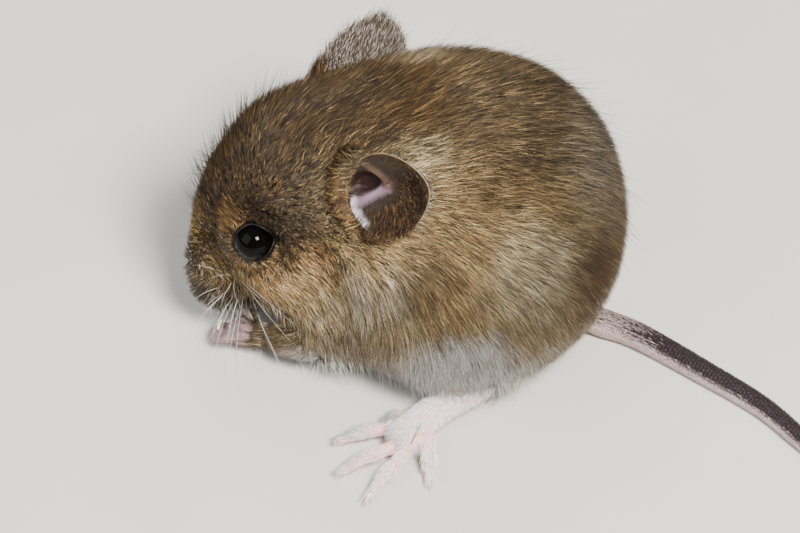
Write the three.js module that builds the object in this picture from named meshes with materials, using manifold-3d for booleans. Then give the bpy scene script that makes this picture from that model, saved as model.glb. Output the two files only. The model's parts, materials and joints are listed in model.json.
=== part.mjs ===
// A young long-tailed field mouse (wood mouse), hunched on its hind feet with the nose down.
// Millimetres. +X is forward, +Y is the animal's left side and +Z is up; the floor is z = 0.
// Every solid runs out to the tips of the coat, because the hair is part of the outline.

import * as THREE from 'three';
import { mergeVertices } from 'three/addons/utils/BufferGeometryUtils.js';
import Module from 'manifold-3d';

const wasm = await Module();
wasm.setup();

const cutGap = 0.3;        // clear space between two neighbouring pieces
const blend = 3;           // how softly the masses of the body flow into each other
const farAway = 240;       // side of the boxes that stand for everything beyond a cut

// The masses under the coat: centre, half-lengths and nose-down turn in degrees.
const trunkMasses = {
  rump: { centre: [-7.2, 0, 15], half: [13.5, 15.6, 16.6], turn: 0 },
  loin: { centre: [-2, 0, 16.2], half: [12.5, 15.3, 16.5], turn: 0 },
  shoulders: { centre: [2.4, 0, 16.8], half: [10.4, 12.2, 15.6], turn: 12 },
  chest: { centre: [8, 0, 8.4], half: [6.4, 7.6, 6.2], turn: 15 },
};
const headMasses = {
  cranium: { centre: [9, 0, 21], half: [10.8, 7.6, 11.1], turn: 35 },
  brow: { centre: [15.4, 0, 18], half: [8.2, 4.6, 6.5], turn: 55 },
  bridge: { centre: [18.9, 0, 13.2], half: [6.8, 2.6, 3.2], turn: 72 },
  noseBridge: { centre: [20.9, 0, 9.2], half: [3.6, 1.6, 1.8], turn: 72 },
  lips: { centre: [19.3, 0, 6.2], half: [2.5, 2, 2.2], turn: 50 },
  chin: { centre: [17.2, 0, 6], half: [3, 2.4, 1.9], turn: 25 },
};
const pairedMasses = {
  thigh: { centre: [-3.2, 9.6, 8.2], half: [8.8, 6.2, 7.4], turn: -25 },
  upperArm: { centre: [7.6, 7.4, 7.6], half: [4.6, 4, 5], turn: 20 },
  cheek: { centre: [12.8, 4.4, 12.6], half: [5.2, 3.9, 5.4], turn: 40 },
  whiskerPad: { centre: [19.5, 1.9, 7.3], half: [2.5, 1.5, 2.3], turn: 50 },
};

const trunkWrap = { centre: [-4, 0, 15.5], reach: 27, detail: 7 };
const headWrap = { centre: [12.5, 0, 18], reach: 24, detail: 8 };
const snoutWrap = { centre: [18.6, 0, 10.6], reach: 12, detail: 5 };
const wrapSteps = 14;      // halvings of the last millimetre of a ray

// Cuts between neighbours: a point on the cut and the direction it looks.
const cuts = {
  neckFromHead: { point: [6, 0, 16.5], towards: [0.909, 0, 0.418] },
  trunkFromNeck: { point: [0.6, 0, 15.5], towards: [0.94, 0, 0.34] },
  headFromSnout: { point: [19.4, 0, 13], towards: [0.52, 0, -0.85] },
  snoutFromJaw: { point: [19.6, 0, 5.6], towards: [-0.56, 0, -0.83] },
  headFromJaw: { point: [13.6, 0, 7.2], towards: [0.75, 0, -0.66] },
};

// The part of the hind leg that is named a thigh: an oval stamped into each flank.
const thighCut = { centre: [-3.4, 0, 8.4], half: [8.4, 7.6], turn: -25, inner: 7, depth: 12, sides: 28 };

const eye = { centre: [16.2, 5.2, 16.7], radius: 2.1, orbit: 2.7, orbitProud: 1.7, columns: 12, rows: 8 };
const nose = { centre: [22.8, 0, 7.3], half: [1.1, 1.2, 1], turn: 30, columns: 10, rows: 6 };

const ears = {
  left: { root: [6, 10.1, 26.9], towards: [-0.66, 0.46, 0.59], facing: [0.5, 0.74, 0.45] },
  right: { root: [7, -9.9, 22.7], towards: [-0.3, 0, 0.9], facing: [0.12, -0.85, 0.05] },
};
const ear = {
  length: 11.8, width: 8.4, thickness: 0.7, cup: 1.9, sunk: 1.6,
  rootWidth: 0.62,         // width at its narrowest, as a share of the full width
  fullFrom: 0.18,          // the outline starts this far along its own curve
  fullness: 0.8,           // below 1 moves the widest place towards the root
  columns: 14, rows: 9,
};

const hindFoot = {
  heel: [-7.4, 9.4, 2.3],
  instep: [-1.9, 13.8, 1.6],
  ball: [2.9, 18, 1.2],
  radius: [2.1, 1.8],
  toes: [
    { root: [1, 14.4, 1], tip: [2.9, 14.3, 0.65], radius: 0.72 },
    { root: [3.3, 15.9, 1], tip: [7.7, 16.9, 0.65], radius: 0.74 },
    { root: [3.1, 18.5, 1], tip: [7.5, 21, 0.65], radius: 0.76 },
    { root: [2.1, 20.1, 1], tip: [4.9, 24.2, 0.65], radius: 0.76 },
    { root: [-0.7, 18.2, 1], tip: [-0.9, 21.9, 0.65], radius: 0.72 },
  ],
  rootDepth: 0.5,          // how far into the sole a toe starts, as a share of the way to the instep
};
const toeTaper = [1.15, 0.85];   // thickness of a toe at its root and its tip, times its radius

const foreleg = { elbow: [9.4, 6.8, 5], middle: [12.6, 6.2, 3.9], wrist: [15.8, 5, 3.2], radius: [3, 1.55] };
const forepaw = {
  wrist: [16, 4.9, 3.1],
  palm: [18.3, 3.9, 2.7],
  knuckles: [19.3, 3.5, 2.3],
  radius: [1.25, 1.7],
  fingers: [
    { knuckle: [19.3, 4.9, 2.6], bend: [20.4, 4.4, 2], tip: [20.2, 3.3, 2.4] },
    { knuckle: [19.7, 3.9, 2.2], bend: [20.7, 3.2, 1.5], tip: [20.1, 2.2, 1.9] },
    { knuckle: [19.3, 3.1, 1.9], bend: [20, 2.3, 1.2], tip: [19.2, 1.6, 1.5] },
    { knuckle: [18.6, 2.6, 1.8], bend: [19.1, 1.9, 1.2], tip: [18.2, 1.3, 1.4] },
  ],
  rootDepth: 0.7,
  fingerRadius: [0.65, 0.56],
};
const roundEnd = 1.6;      // how soon a limb reaches its full thickness after its rounded end

const tail = {
  path: [
    [-13.5, 0, 3], [-18, 1.5, 1.6], [-22, 3.2, 1.15], [-28, 7.9, 1.1], [-34, 13, 1.05],
    [-39, 19, 1], [-44.5, 24, 0.86], [-51, 26.8, 0.72], [-58, 27.4, 0.58], [-65, 26, 0.45],
  ],
  rootRadius: 1.5,
  tipRadius: 0.5,
  cutsAt: [0.36, 0.68],    // shares of the length where the tail is parted
};

// Claws curve down from the end of each toe and hang just clear of the floor.
const claws = {
  hind: { length: 1.2, radius: 0.36, droop: 0.3 },
  fore: { length: 1, radius: 0.3, droop: 0.1 },
  tipTaper: 0.4,
  lowest: 0.16,
};

const finishes = {
  backCoat: { color: 0x7d6238, roughness: 0.95, metalness: 0 },
  flankCoat: { color: 0x8f7447, roughness: 0.95, metalness: 0 },
  throatCoat: { color: 0xb9a68a, roughness: 0.95, metalness: 0 },
  eye: { color: 0x0a0908, roughness: 0.08, metalness: 0 },
  noseSkin: { color: 0x9a6f68, roughness: 0.5, metalness: 0 },
  earSkin: { color: 0x7b5c4c, roughness: 0.8, metalness: 0 },
  footSkin: { color: 0xd9b6b3, roughness: 0.7, metalness: 0 },
  tailSkin: { color: 0x6a5159, roughness: 0.75, metalness: 0 },
  claw: { color: 0xd8cdbc, roughness: 0.4, metalness: 0 },
};

const vector = (values) => new THREE.Vector3(...values);
const mirrored = ([x, y, z]) => [x, -y, z];
const sides = [
  { name: 'left', place: (point) => point },
  { name: 'right', place: mirrored },
];

// One mass of the body, as a function that gives the distance to its surface (negative inside).
function massDistance({ centre, half, turn }) {
  const middle = vector(centre);
  const unturn = new THREE.Quaternion().setFromAxisAngle(
    new THREE.Vector3(0, 1, 0), -THREE.MathUtils.degToRad(turn));
  const radii = vector(half);
  const local = new THREE.Vector3();
  return (point) => {
    local.copy(point).sub(middle).applyQuaternion(unturn).divide(radii);
    const near = local.length();
    return near * (near - 1) / Math.max(local.divide(radii).length(), 1e-9);
  };
}

const masses = [
  ...Object.values(trunkMasses),
  ...Object.values(headMasses),
  ...Object.values(pairedMasses).flatMap((mass) => sides.map(
    (side) => ({ ...mass, centre: side.place(mass.centre) }))),
].map(massDistance);

// The whole outer surface of the animal: all the masses blended softly together.
function bodyDistance(point) {
  let nearest = Infinity;
  for (const mass of masses) {
    const distance = mass(point);
    const overlap = Math.max(blend - Math.abs(nearest - distance), 0) / blend;
    nearest = Math.min(nearest, distance) - overlap * overlap * blend / 4;
  }
  return nearest;
}

function toSolid(geometry) {
  const bare = geometry.clone();
  bare.deleteAttribute('normal');
  bare.deleteAttribute('uv');
  const merged = mergeVertices(bare, 1e-4);
  return new wasm.Manifold(new wasm.Mesh({
    numProp: 3,
    vertProperties: new Float32Array(merged.attributes.position.array),
    triVerts: new Uint32Array(merged.index.array),
  }));
}

function toGeometry(solid) {
  const mesh = solid.getMesh();
  const geometry = new THREE.BufferGeometry();
  geometry.setAttribute('position', new THREE.BufferAttribute(mesh.vertProperties, 3));
  geometry.setIndex(new THREE.BufferAttribute(mesh.triVerts, 1));
  geometry.computeVertexNormals();
  return geometry;
}

// A ball pulled out along its rays until it lies on the body's surface, or at most at `reach`.
function wrapBody({ centre, reach, detail }, grow = 0) {
  const geometry = new THREE.IcosahedronGeometry(1, detail);
  const middle = vector(centre);
  const places = geometry.attributes.position;
  const ray = new THREE.Vector3();
  const point = new THREE.Vector3();
  for (let index = 0; index < places.count; index += 1) {
    ray.fromBufferAttribute(places, index).normalize();
    let inside = 0;
    let outside = reach + grow;
    for (let distance = 1; distance < reach; distance += 1) {
      if (bodyDistance(point.copy(middle).addScaledVector(ray, distance)) > grow) {
        outside = distance;
        break;
      }
      inside = distance;
    }
    if (outside < reach) {
      for (let step = 0; step < wrapSteps; step += 1) {
        const half = (inside + outside) / 2;
        if (bodyDistance(point.copy(middle).addScaledVector(ray, half)) > grow) outside = half;
        else inside = half;
      }
    }
    point.copy(middle).addScaledVector(ray, outside);
    places.setXYZ(index, point.x, point.y, point.z);
  }
  return toSolid(geometry);
}

// Everything on the side of a cut that `towards` looks to, less half the gap.
function beyond({ point, towards }, flip = 1, clear = cutGap / 2) {
  const direction = vector(towards).normalize().multiplyScalar(flip);
  const box = new THREE.BoxGeometry(farAway, farAway, farAway);
  box.applyQuaternion(new THREE.Quaternion().setFromUnitVectors(new THREE.Vector3(1, 0, 0), direction));
  const middle = vector(point).addScaledVector(direction, farAway / 2 + clear);
  box.translate(middle.x, middle.y, middle.z);
  return toSolid(box);
}

function ellipsoid({ centre, half, turn = 0, columns = 16, rows = 10 }, grow = 0) {
  const ball = new THREE.SphereGeometry(1, columns, rows);
  ball.scale(half[0] + grow, half[1] + grow, half[2] + grow);
  ball.rotateY(THREE.MathUtils.degToRad(turn));
  ball.translate(...centre);
  return toSolid(ball);
}

// A ball drawn out along a curve: a round-ended limb whose radius follows `radiusAt(0 to 1)`.
function limb(points, radiusAt, around = 8, along = 8) {
  const curve = new THREE.CatmullRomCurve3(points.map(vector), false, 'centripetal');
  const ball = new THREE.SphereGeometry(1, around, along);
  const places = ball.attributes.position;
  const up = new THREE.Vector3(0, 0, 1);
  for (let index = 0; index < places.count; index += 1) {
    const [x, y, z] = [places.getX(index), places.getY(index), places.getZ(index)];
    const share = Math.acos(THREE.MathUtils.clamp(-y, -1, 1)) / Math.PI;
    const forward = curve.getTangentAt(share);
    const side = new THREE.Vector3().crossVectors(forward, up).normalize();
    const top = new THREE.Vector3().crossVectors(side, forward);
    const ring = Math.hypot(x, z);
    const full = ring < 1e-6 ? 0 : radiusAt(share) * Math.min(1, ring * roundEnd) / ring;
    const place = curve.getPointAt(share).addScaledVector(side, x * full).addScaledVector(top, z * full);
    places.setXYZ(index, place.x, place.y, place.z);
  }
  return toSolid(ball);
}

const between = (from, to) => (share) => THREE.MathUtils.lerp(from, to, share);
const aboveFloor = beyond({ point: [0, 0, 0], towards: [0, 0, 1] }, 1, 0);

// Head and trunk come from one surface; thin flat cuts part it into the pieces with names.
const trunkShape = wrapBody(trunkWrap);
const headShape = wrapBody(headWrap);
const snoutShape = wrapBody(snoutWrap);
const trunkRoom = wrapBody(trunkWrap, cutGap);
const bodyRoom = trunkRoom.add(wrapBody(headWrap, cutGap)).add(wrapBody(snoutWrap, cutGap));

const wholeHead = headShape.intersect(beyond(cuts.neckFromHead)).intersect(aboveFloor);
const neck = trunkShape.intersect(beyond(cuts.neckFromHead, -1)).intersect(beyond(cuts.trunkFromNeck))
  .intersect(aboveFloor);
const wholeTrunk = trunkShape.intersect(beyond(cuts.trunkFromNeck, -1)).intersect(aboveFloor);

const eyeball = (side, grow) => ellipsoid(
  { ...eye, centre: side.place(eye.centre), half: [eye.radius, eye.radius, eye.radius] }, grow);
const eyeballs = sides.map((side) => eyeball(side, 0));
const eyeRoom = sides.map((side) => eyeball(side, cutGap));
const noseTip = ellipsoid(nose);
const noseRoom = ellipsoid(nose, cutGap);

const jaw = snoutShape.intersect(beyond(cuts.snoutFromJaw)).intersect(beyond(cuts.headFromJaw))
  .intersect(beyond(cuts.neckFromHead));
const snout = snoutShape.intersect(beyond(cuts.headFromSnout)).intersect(beyond(cuts.snoutFromJaw, -1))
  .intersect(beyond(cuts.headFromJaw)).subtract(noseRoom);
const muzzleRoom = beyond(cuts.headFromSnout, 1, -cutGap / 2).add(beyond(cuts.snoutFromJaw, 1, -cutGap / 2))
  .intersect(beyond(cuts.headFromJaw, 1, -cutGap / 2));
const orbits = sides.map((side) => ellipsoid({
  centre: side.place([eye.centre[0], eye.centre[1] + eye.orbitProud, eye.centre[2]]),
  half: [eye.orbit, eye.orbit, eye.orbit],
}));
const head = [muzzleRoom, ...eyeRoom, ...orbits].reduce((left, room) => left.subtract(room), wholeHead);

// An oval peg that reaches from inside the flank out through it, on either side of the body.
function flankPeg(side, grow) {
  const { centre, half, turn, inner, depth, sides: facets } = thighCut;
  const peg = new THREE.CylinderGeometry(1, 1, depth, facets, 1);
  peg.scale(half[0] + grow, 1, half[1] + grow);
  peg.rotateY(THREE.MathUtils.degToRad(turn));
  const place = side.place([centre[0], inner - grow + depth / 2, centre[2]]);
  peg.translate(...place);
  return toSolid(peg);
}

const thighs = sides.map((side) => wholeTrunk.intersect(flankPeg(side, -cutGap / 2)));
const trunk = sides.reduce((left, side) => left.subtract(flankPeg(side, cutGap / 2)), wholeTrunk);

// A cupped ear: a flat lens whose middle is pushed back, narrow at the root and round at the tip.
function pinna({ root, towards, facing }) {
  const along = vector(towards).normalize();
  const front = vector(facing).projectOnPlane(along).normalize();
  const across = new THREE.Vector3().crossVectors(along, front);
  const lens = new THREE.SphereGeometry(1, ear.columns, ear.rows);
  lens.rotateX(Math.PI / 2);
  const places = lens.attributes.position;
  for (let index = 0; index < places.count; index += 1) {
    const [x, y, z] = [places.getX(index), places.getY(index), places.getZ(index)];
    const spread = x * x + y * y;
    const share = (y + 1) / 2;
    const turned = Math.PI * THREE.MathUtils.lerp(ear.fullFrom, 1, share) ** ear.fullness;
    const swell = Math.sqrt(Math.sin(turned));
    const width = x * (ear.width / 2) * THREE.MathUtils.lerp(ear.rootWidth, 1, swell);
    const height = ear.length * share - ear.sunk;
    const depth = ear.cup * (spread - 1) + z * ear.thickness / 2;
    const place = vector(root).addScaledVector(along, height).addScaledVector(across, width)
      .addScaledVector(front, depth);
    places.setXYZ(index, place.x, place.y, place.z);
  }
  return toSolid(lens);
}

// Where the bone of a toe or finger starts, well inside the sole or palm.
const rootedIn = (inside, joint, share) => vector(joint).lerp(vector(inside), share).toArray();

function hindFootSolid(side) {
  const place = (point) => side.place(point);
  const sole = limb(
    [place(hindFoot.heel), place(hindFoot.instep), place(hindFoot.ball)],
    between(...hindFoot.radius), 8, 7);
  const toes = hindFoot.toes.map((toe) => limb(
    [place(rootedIn(hindFoot.instep, toe.root, hindFoot.rootDepth)), place(toe.root), place(toe.tip)],
    between(toe.radius * toeTaper[0], toe.radius * toeTaper[1]), 6, 5));
  return toes.reduce((whole, toe) => whole.add(toe), sole).subtract(bodyRoom).intersect(aboveFloor);
}

function forepawSolid(side) {
  const place = (point) => side.place(point);
  const palm = limb([place(forepaw.wrist), place(forepaw.palm), place(forepaw.knuckles)],
    between(...forepaw.radius), 8, 7);
  const fingers = forepaw.fingers.map((finger) => limb(
    [rootedIn(forepaw.palm, finger.knuckle, forepaw.rootDepth), finger.knuckle, finger.bend, finger.tip]
      .map(place),
    between(...forepaw.fingerRadius), 6, 5));
  return fingers.reduce((whole, finger) => whole.add(finger), palm);
}

// A claw that carries on from the last bone of a toe or finger, after a thin gap.
function clawSolid(from, tip, { length, radius, droop }) {
  const forward = vector(tip).sub(vector(from)).normalize();
  const root = vector(tip).addScaledVector(forward, cutGap);
  const middle = root.clone().addScaledVector(forward, length * 0.5);
  const end = root.clone().addScaledVector(forward, length);
  end.z = Math.max(end.z - droop, claws.lowest);
  const points = [root, middle, end].map((point) => point.toArray());
  return limb(points, between(radius, radius * claws.tipTaper), 5, 4);
}

const forelegs = sides.map((side) => limb(
  [side.place(foreleg.elbow), side.place(foreleg.middle), side.place(foreleg.wrist)],
  between(...foreleg.radius), 8, 7));

const wholeTail = limb(tail.path, between(tail.rootRadius, tail.tipRadius), 8, 27)
  .subtract(trunkRoom).intersect(aboveFloor);
const tailCurve = new THREE.CatmullRomCurve3(tail.path.map(vector), false, 'centripetal');
const tailCuts = tail.cutsAt.map((share) => ({
  point: tailCurve.getPointAt(share).toArray(),
  towards: tailCurve.getTangentAt(share).toArray(),
}));
const tailBase = wholeTail.intersect(beyond(tailCuts[0], -1));
const tailMiddle = wholeTail.intersect(beyond(tailCuts[0])).intersect(beyond(tailCuts[1], -1));
const tailTip = wholeTail.intersect(beyond(tailCuts[1]));

const model = new THREE.Group();

function addPiece(name, solid, finish) {
  const mesh = new THREE.Mesh(toGeometry(solid), new THREE.MeshStandardMaterial(finishes[finish]));
  mesh.name = name;
  model.add(mesh);
}

addPiece('head', head, 'flankCoat');
addPiece('snout', snout, 'flankCoat');
addPiece('jaw', jaw, 'throatCoat');
addPiece('nose', noseTip, 'noseSkin');
addPiece('neck', neck, 'backCoat');
addPiece('trunk', trunk, 'backCoat');
sides.forEach((side, index) => {
  addPiece(`eye_${side.name}`, eyeballs[index], 'eye');
  addPiece(`ear_${side.name}`, pinna(ears[side.name]).subtract(bodyRoom), 'earSkin');
  addPiece(`thigh_${side.name}`, thighs[index], 'flankCoat');
  addPiece(`hind_foot_${side.name}`, hindFootSolid(side), 'footSkin');
  addPiece(`foreleg_${side.name}`, forelegs[index].subtract(bodyRoom), 'flankCoat');
  addPiece(`forepaw_${side.name}`, forepawSolid(side).subtract(bodyRoom), 'footSkin');
  hindFoot.toes.forEach((toe, place) => addPiece(`hind_claw_${side.name}_${place + 1}`,
    clawSolid(side.place(toe.root), side.place(toe.tip), claws.hind), 'claw'));
  forepaw.fingers.forEach((finger, place) => addPiece(`fore_claw_${side.name}_${place + 1}`,
    clawSolid(side.place(finger.bend), side.place(finger.tip), claws.fore), 'claw'));
});
addPiece('tail_base', tailBase, 'tailSkin');
addPiece('tail_middle', tailMiddle, 'tailSkin');
addPiece('tail_tip', tailTip, 'tailSkin');

// The origin is the middle of the footprint, on the floor.
const extent = new THREE.Box3().setFromObject(model);
const footprint = extent.getCenter(new THREE.Vector3());
model.position.set(-footprint.x, -footprint.y, -extent.min.z);

export default model;
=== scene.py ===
import json
import math

import bmesh
import bpy
import numpy as np
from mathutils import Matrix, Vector
from mathutils.bvhtree import BVHTree
from mathutils.kdtree import KDTree

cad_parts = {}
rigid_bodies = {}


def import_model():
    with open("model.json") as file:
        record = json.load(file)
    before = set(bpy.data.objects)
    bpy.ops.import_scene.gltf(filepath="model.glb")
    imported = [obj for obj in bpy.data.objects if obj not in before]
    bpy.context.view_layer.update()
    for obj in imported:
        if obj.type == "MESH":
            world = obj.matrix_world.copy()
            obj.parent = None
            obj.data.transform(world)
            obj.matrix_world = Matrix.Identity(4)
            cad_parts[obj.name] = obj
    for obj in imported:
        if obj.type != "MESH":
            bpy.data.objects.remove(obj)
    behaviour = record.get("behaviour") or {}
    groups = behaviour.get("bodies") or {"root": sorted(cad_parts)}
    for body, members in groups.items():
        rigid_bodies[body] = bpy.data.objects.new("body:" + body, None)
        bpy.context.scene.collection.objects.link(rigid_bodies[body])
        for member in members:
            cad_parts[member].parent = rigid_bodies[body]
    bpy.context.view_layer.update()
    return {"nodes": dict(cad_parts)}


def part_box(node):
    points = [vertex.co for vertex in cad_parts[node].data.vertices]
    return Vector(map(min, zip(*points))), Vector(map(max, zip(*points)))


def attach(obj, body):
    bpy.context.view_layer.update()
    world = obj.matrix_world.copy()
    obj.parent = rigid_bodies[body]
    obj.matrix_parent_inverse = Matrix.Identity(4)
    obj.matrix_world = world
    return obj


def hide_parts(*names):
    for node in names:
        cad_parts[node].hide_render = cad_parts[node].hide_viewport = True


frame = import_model()
draws = np.random.default_rng(7)
thin = 1.0       # share of the hairs grown

# A young wood mouse, hunched with its nose down. All measures below are millimetres from
# the point of the floor under the middle of its body: x ahead, y to its left, z up.
eyeShape = {
    "centre": (16.2, 5.2, 16.7), "radius": 2.1,
    "looks": (0.1, 0.84, 0.53),          # the middle of the opening
    "longWay": (-1.0, 0.0, 0.22),        # from the inner to the outer corner
    "opening": (76, 60),                 # half-angles of the opening along and across, in degrees
    "lidRim": 0.12,
}
eyeMiddles = []
for name in ("eye_left", "eye_right"):
    low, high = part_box(name)
    eyeMiddles.append(np.array(low + high) * 500)
middleOfEyes = (eyeMiddles[0][1] + eyeMiddles[1][1]) / 2
bodyOrigin = np.array([eyeMiddles[0][0] - eyeShape["centre"][0], middleOfEyes, 0.0])
noseTip = np.array([22.8, 0.0, 7.3])


def toMetres(points):
    return (np.asarray(points, float) + bodyOrigin) / 1000


def toMillimetres(points):
    return np.asarray(points, float) * 1000 - bodyOrigin


def unit(vectors):
    vectors = np.asarray(vectors, float)
    return vectors / np.maximum(np.linalg.norm(vectors, axis=-1, keepdims=True), 1e-9)


def mixed(a, b, share):
    return a + (b - a) * share


def rise(value, low, high):
    # 0 below low, 1 above high and a smooth way between; low may be above high
    t = np.clip((np.asarray(value, float) - low) / (high - low), 0, 1)
    return t * t * (3 - 2 * t)


def near(points, centre, reach):
    return rise(np.linalg.norm((points - np.array(centre)) / np.array(reach), axis=-1), 1.0, 0.0)


def paint(code):
    # the linear colour of a web colour such as "a08050"
    parts = np.array([int(code[i:i + 2], 16) / 255 for i in (0, 2, 4)])
    return np.where(parts <= 0.04045, parts / 12.92, ((parts + 0.055) / 1.055) ** 2.4)


def wander(points, size, seed):
    # soft noise between about -1 and 1, the same on the skin and on the hairs that grow there
    turns = np.random.default_rng(seed)
    total = np.zeros(len(points))
    for _ in range(6):
        way = unit(turns.normal(size=3)) / size * turns.uniform(0.7, 1.5)
        total += np.sin(points @ way * 2 * math.pi + turns.uniform(0, 6.28))
    return total / 2.6


def smoothRoute(points, count):
    # a Catmull-Rom curve through the points, with even steps
    points = np.asarray(points, float)
    ends = np.vstack([2 * points[0] - points[1], points, 2 * points[-1] - points[-2]])
    fine = []
    for a, b, c, d in zip(ends[:-3], ends[1:-2], ends[2:-1], ends[3:]):
        for t in np.arange(0, 1, 0.05):
            fine.append(0.5 * (2 * b + (c - a) * t + (2 * a - 5 * b + 4 * c - d) * t * t
                               + (3 * b - a - 3 * c + d) * t ** 3))
    fine = np.array(fine + [points[-1]])
    reach = np.concatenate([[0], np.cumsum(np.linalg.norm(np.diff(fine, axis=0), axis=1))])
    even = np.linspace(0, reach[-1], count)
    return np.stack([np.interp(even, reach, fine[:, axis]) for axis in range(3)], axis=1), reach[-1]


def gridFaces(rows, around, start=0, turned=False):
    # the quads between rows of points that go round
    faces = []
    for row in range(rows - 1):
        for step in range(around):
            a = start + row * around + step
            b = start + row * around + (step + 1) % around
            faces.append((a, a + around, b + around, b) if turned else (a, b, b + around, a + around))
    return faces


def closedGrid(rows, around):
    first = tuple(range(around))[::-1]
    last = tuple((rows - 1) * around + i for i in range(around))
    return gridFaces(rows, around) + [first, last]


def tube(route, radii, around=14, along=24, flat=1.0, up=(0, 0, 1)):
    # a round-ended limb along a route; radii are spread evenly over its length
    line, length = smoothRoute(route, along)
    tangent = unit(np.gradient(line, axis=0))
    side = unit(np.cross(tangent, np.array(up, float)))
    top = np.cross(side, tangent)
    share = np.linspace(0, 1, along)
    radius = np.interp(share, np.linspace(0, 1, len(radii)), radii)
    for ends, first in ((share, radii[0]), (1 - share, radii[-1])):
        inset = np.clip(ends * length / max(first, 1e-6), 0, 1)
        radius = radius * np.sqrt(np.maximum(1 - (1 - inset) ** 2, 0.0004))
    angle = np.arange(around) * 2 * math.pi / around
    ring = (side[:, None] * np.cos(angle)[None, :, None]
            + top[:, None] * np.sin(angle)[None, :, None] * flat) * radius[:, None, None]
    points = (line[:, None] + ring).reshape(-1, 3)
    return points, closedGrid(along, around)


def ball(centre, half, around=18, rows=12):
    points, faces = [(0, 0, 1)], []
    for row in range(1, rows):
        tilt = math.pi * row / rows
        for step in range(around):
            turn = 2 * math.pi * step / around
            out = math.sin(tilt)
            points.append((out * math.cos(turn), out * math.sin(turn), math.cos(tilt)))
    points.append((0, 0, -1))
    for step in range(around):
        after = (step + 1) % around
        faces.append((0, 1 + step, 1 + after))
        for row in range(rows - 2):
            a, b = 1 + row * around + step, 1 + row * around + after
            faces.append((a, a + around, b + around, b))
        last = 1 + (rows - 2) * around
        faces.append((last + step, len(points) - 1, last + after))
    return np.array(points) * np.array(half) + np.array(centre), faces


def joined(shapes):
    points, faces, start = [], [], 0
    for shapePoints, shapeFaces in shapes:
        points.append(np.asarray(shapePoints, float))
        faces.extend(tuple(start + corner for corner in face) for face in shapeFaces)
        start += len(shapePoints)
    return np.vstack(points), faces


def mirrored(shape):
    points, faces = shape
    return points * np.array([1, -1, 1]), [tuple(reversed(face)) for face in faces]


def onSide(place, side):
    # a place or way given for the left, on the side asked for: 1 left, -1 right
    return np.array(place) * (1, side, 1)


def inFold(points):
    # both sides of the body laid on its left side
    return np.abs(points * (0, 1, 0)) + points * (1, 0, 1)


def treeOf(points):
    tree = KDTree(len(points))
    for index, place in enumerate(points):
        tree.insert(place, index)
    tree.balance()
    return tree


def remeshed(shape, voxel):
    # one closed surface round overlapping closed shapes, as (points, quads)
    points, faces = shape
    mesh = bpy.data.meshes.new("draft")
    mesh.from_pydata([tuple(point) for point in points], [], faces)
    draft = bpy.data.objects.new("draft", mesh)
    bpy.context.scene.collection.objects.link(draft)
    remesh = draft.modifiers.new("remesh", "REMESH")
    remesh.mode = "VOXEL"
    remesh.voxel_size = voxel
    done = draft.evaluated_get(bpy.context.evaluated_depsgraph_get()).to_mesh()
    newPoints = np.zeros(len(done.vertices) * 3)
    done.vertices.foreach_get("co", newPoints)
    corners = np.zeros(len(done.loops), int)
    done.loops.foreach_get("vertex_index", corners)
    bpy.data.objects.remove(draft)
    bpy.data.meshes.remove(mesh)
    return newPoints.reshape(-1, 3), corners.reshape(-1, 4)


def edgesOf(quads):
    pairs = np.vstack([quads[:, [i, (i + 1) % 4]] for i in range(4)])
    return np.unique(np.sort(pairs, axis=1), axis=0)


def averaged(values, edges, rounds, share=0.5):
    # each value drifts towards the mean of its neighbours'
    values = np.array(values, float)
    flatShape = values.reshape(len(values), -1)
    a, b = edges[:, 0], edges[:, 1]
    degree = np.maximum(np.bincount(a, minlength=len(values)) + np.bincount(b, minlength=len(values)), 1)
    share = np.broadcast_to(np.asarray(share, float), len(values))
    for _ in range(rounds):
        for column in range(flatShape.shape[1]):
            line = flatShape[:, column]
            total = (np.bincount(a, line[b], len(values)) + np.bincount(b, line[a], len(values))) / degree
            flatShape[:, column] = line + (total - line) * share
    return flatShape.reshape(values.shape)


def normalsOf(points, quads):
    face = np.cross(points[quads[:, 2]] - points[quads[:, 0]], points[quads[:, 3]] - points[quads[:, 1]])
    total = np.zeros_like(points)
    for corner in range(4):
        for axis in range(3):
            total[:, axis] += np.bincount(quads[:, corner], face[:, axis], len(points))
    return unit(total)


def newPiece(name, points, faces, material, slot):
    mesh = bpy.data.meshes.new(name)
    mesh.from_pydata(toMetres(points).tolist(), [], [tuple(map(int, face)) for face in faces])
    mesh.shade_smooth()
    piece = bpy.data.objects.new(name, mesh)
    bpy.context.scene.collection.objects.link(piece)
    mesh.materials.append(material)
    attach(piece, "root")
    return piece


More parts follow.
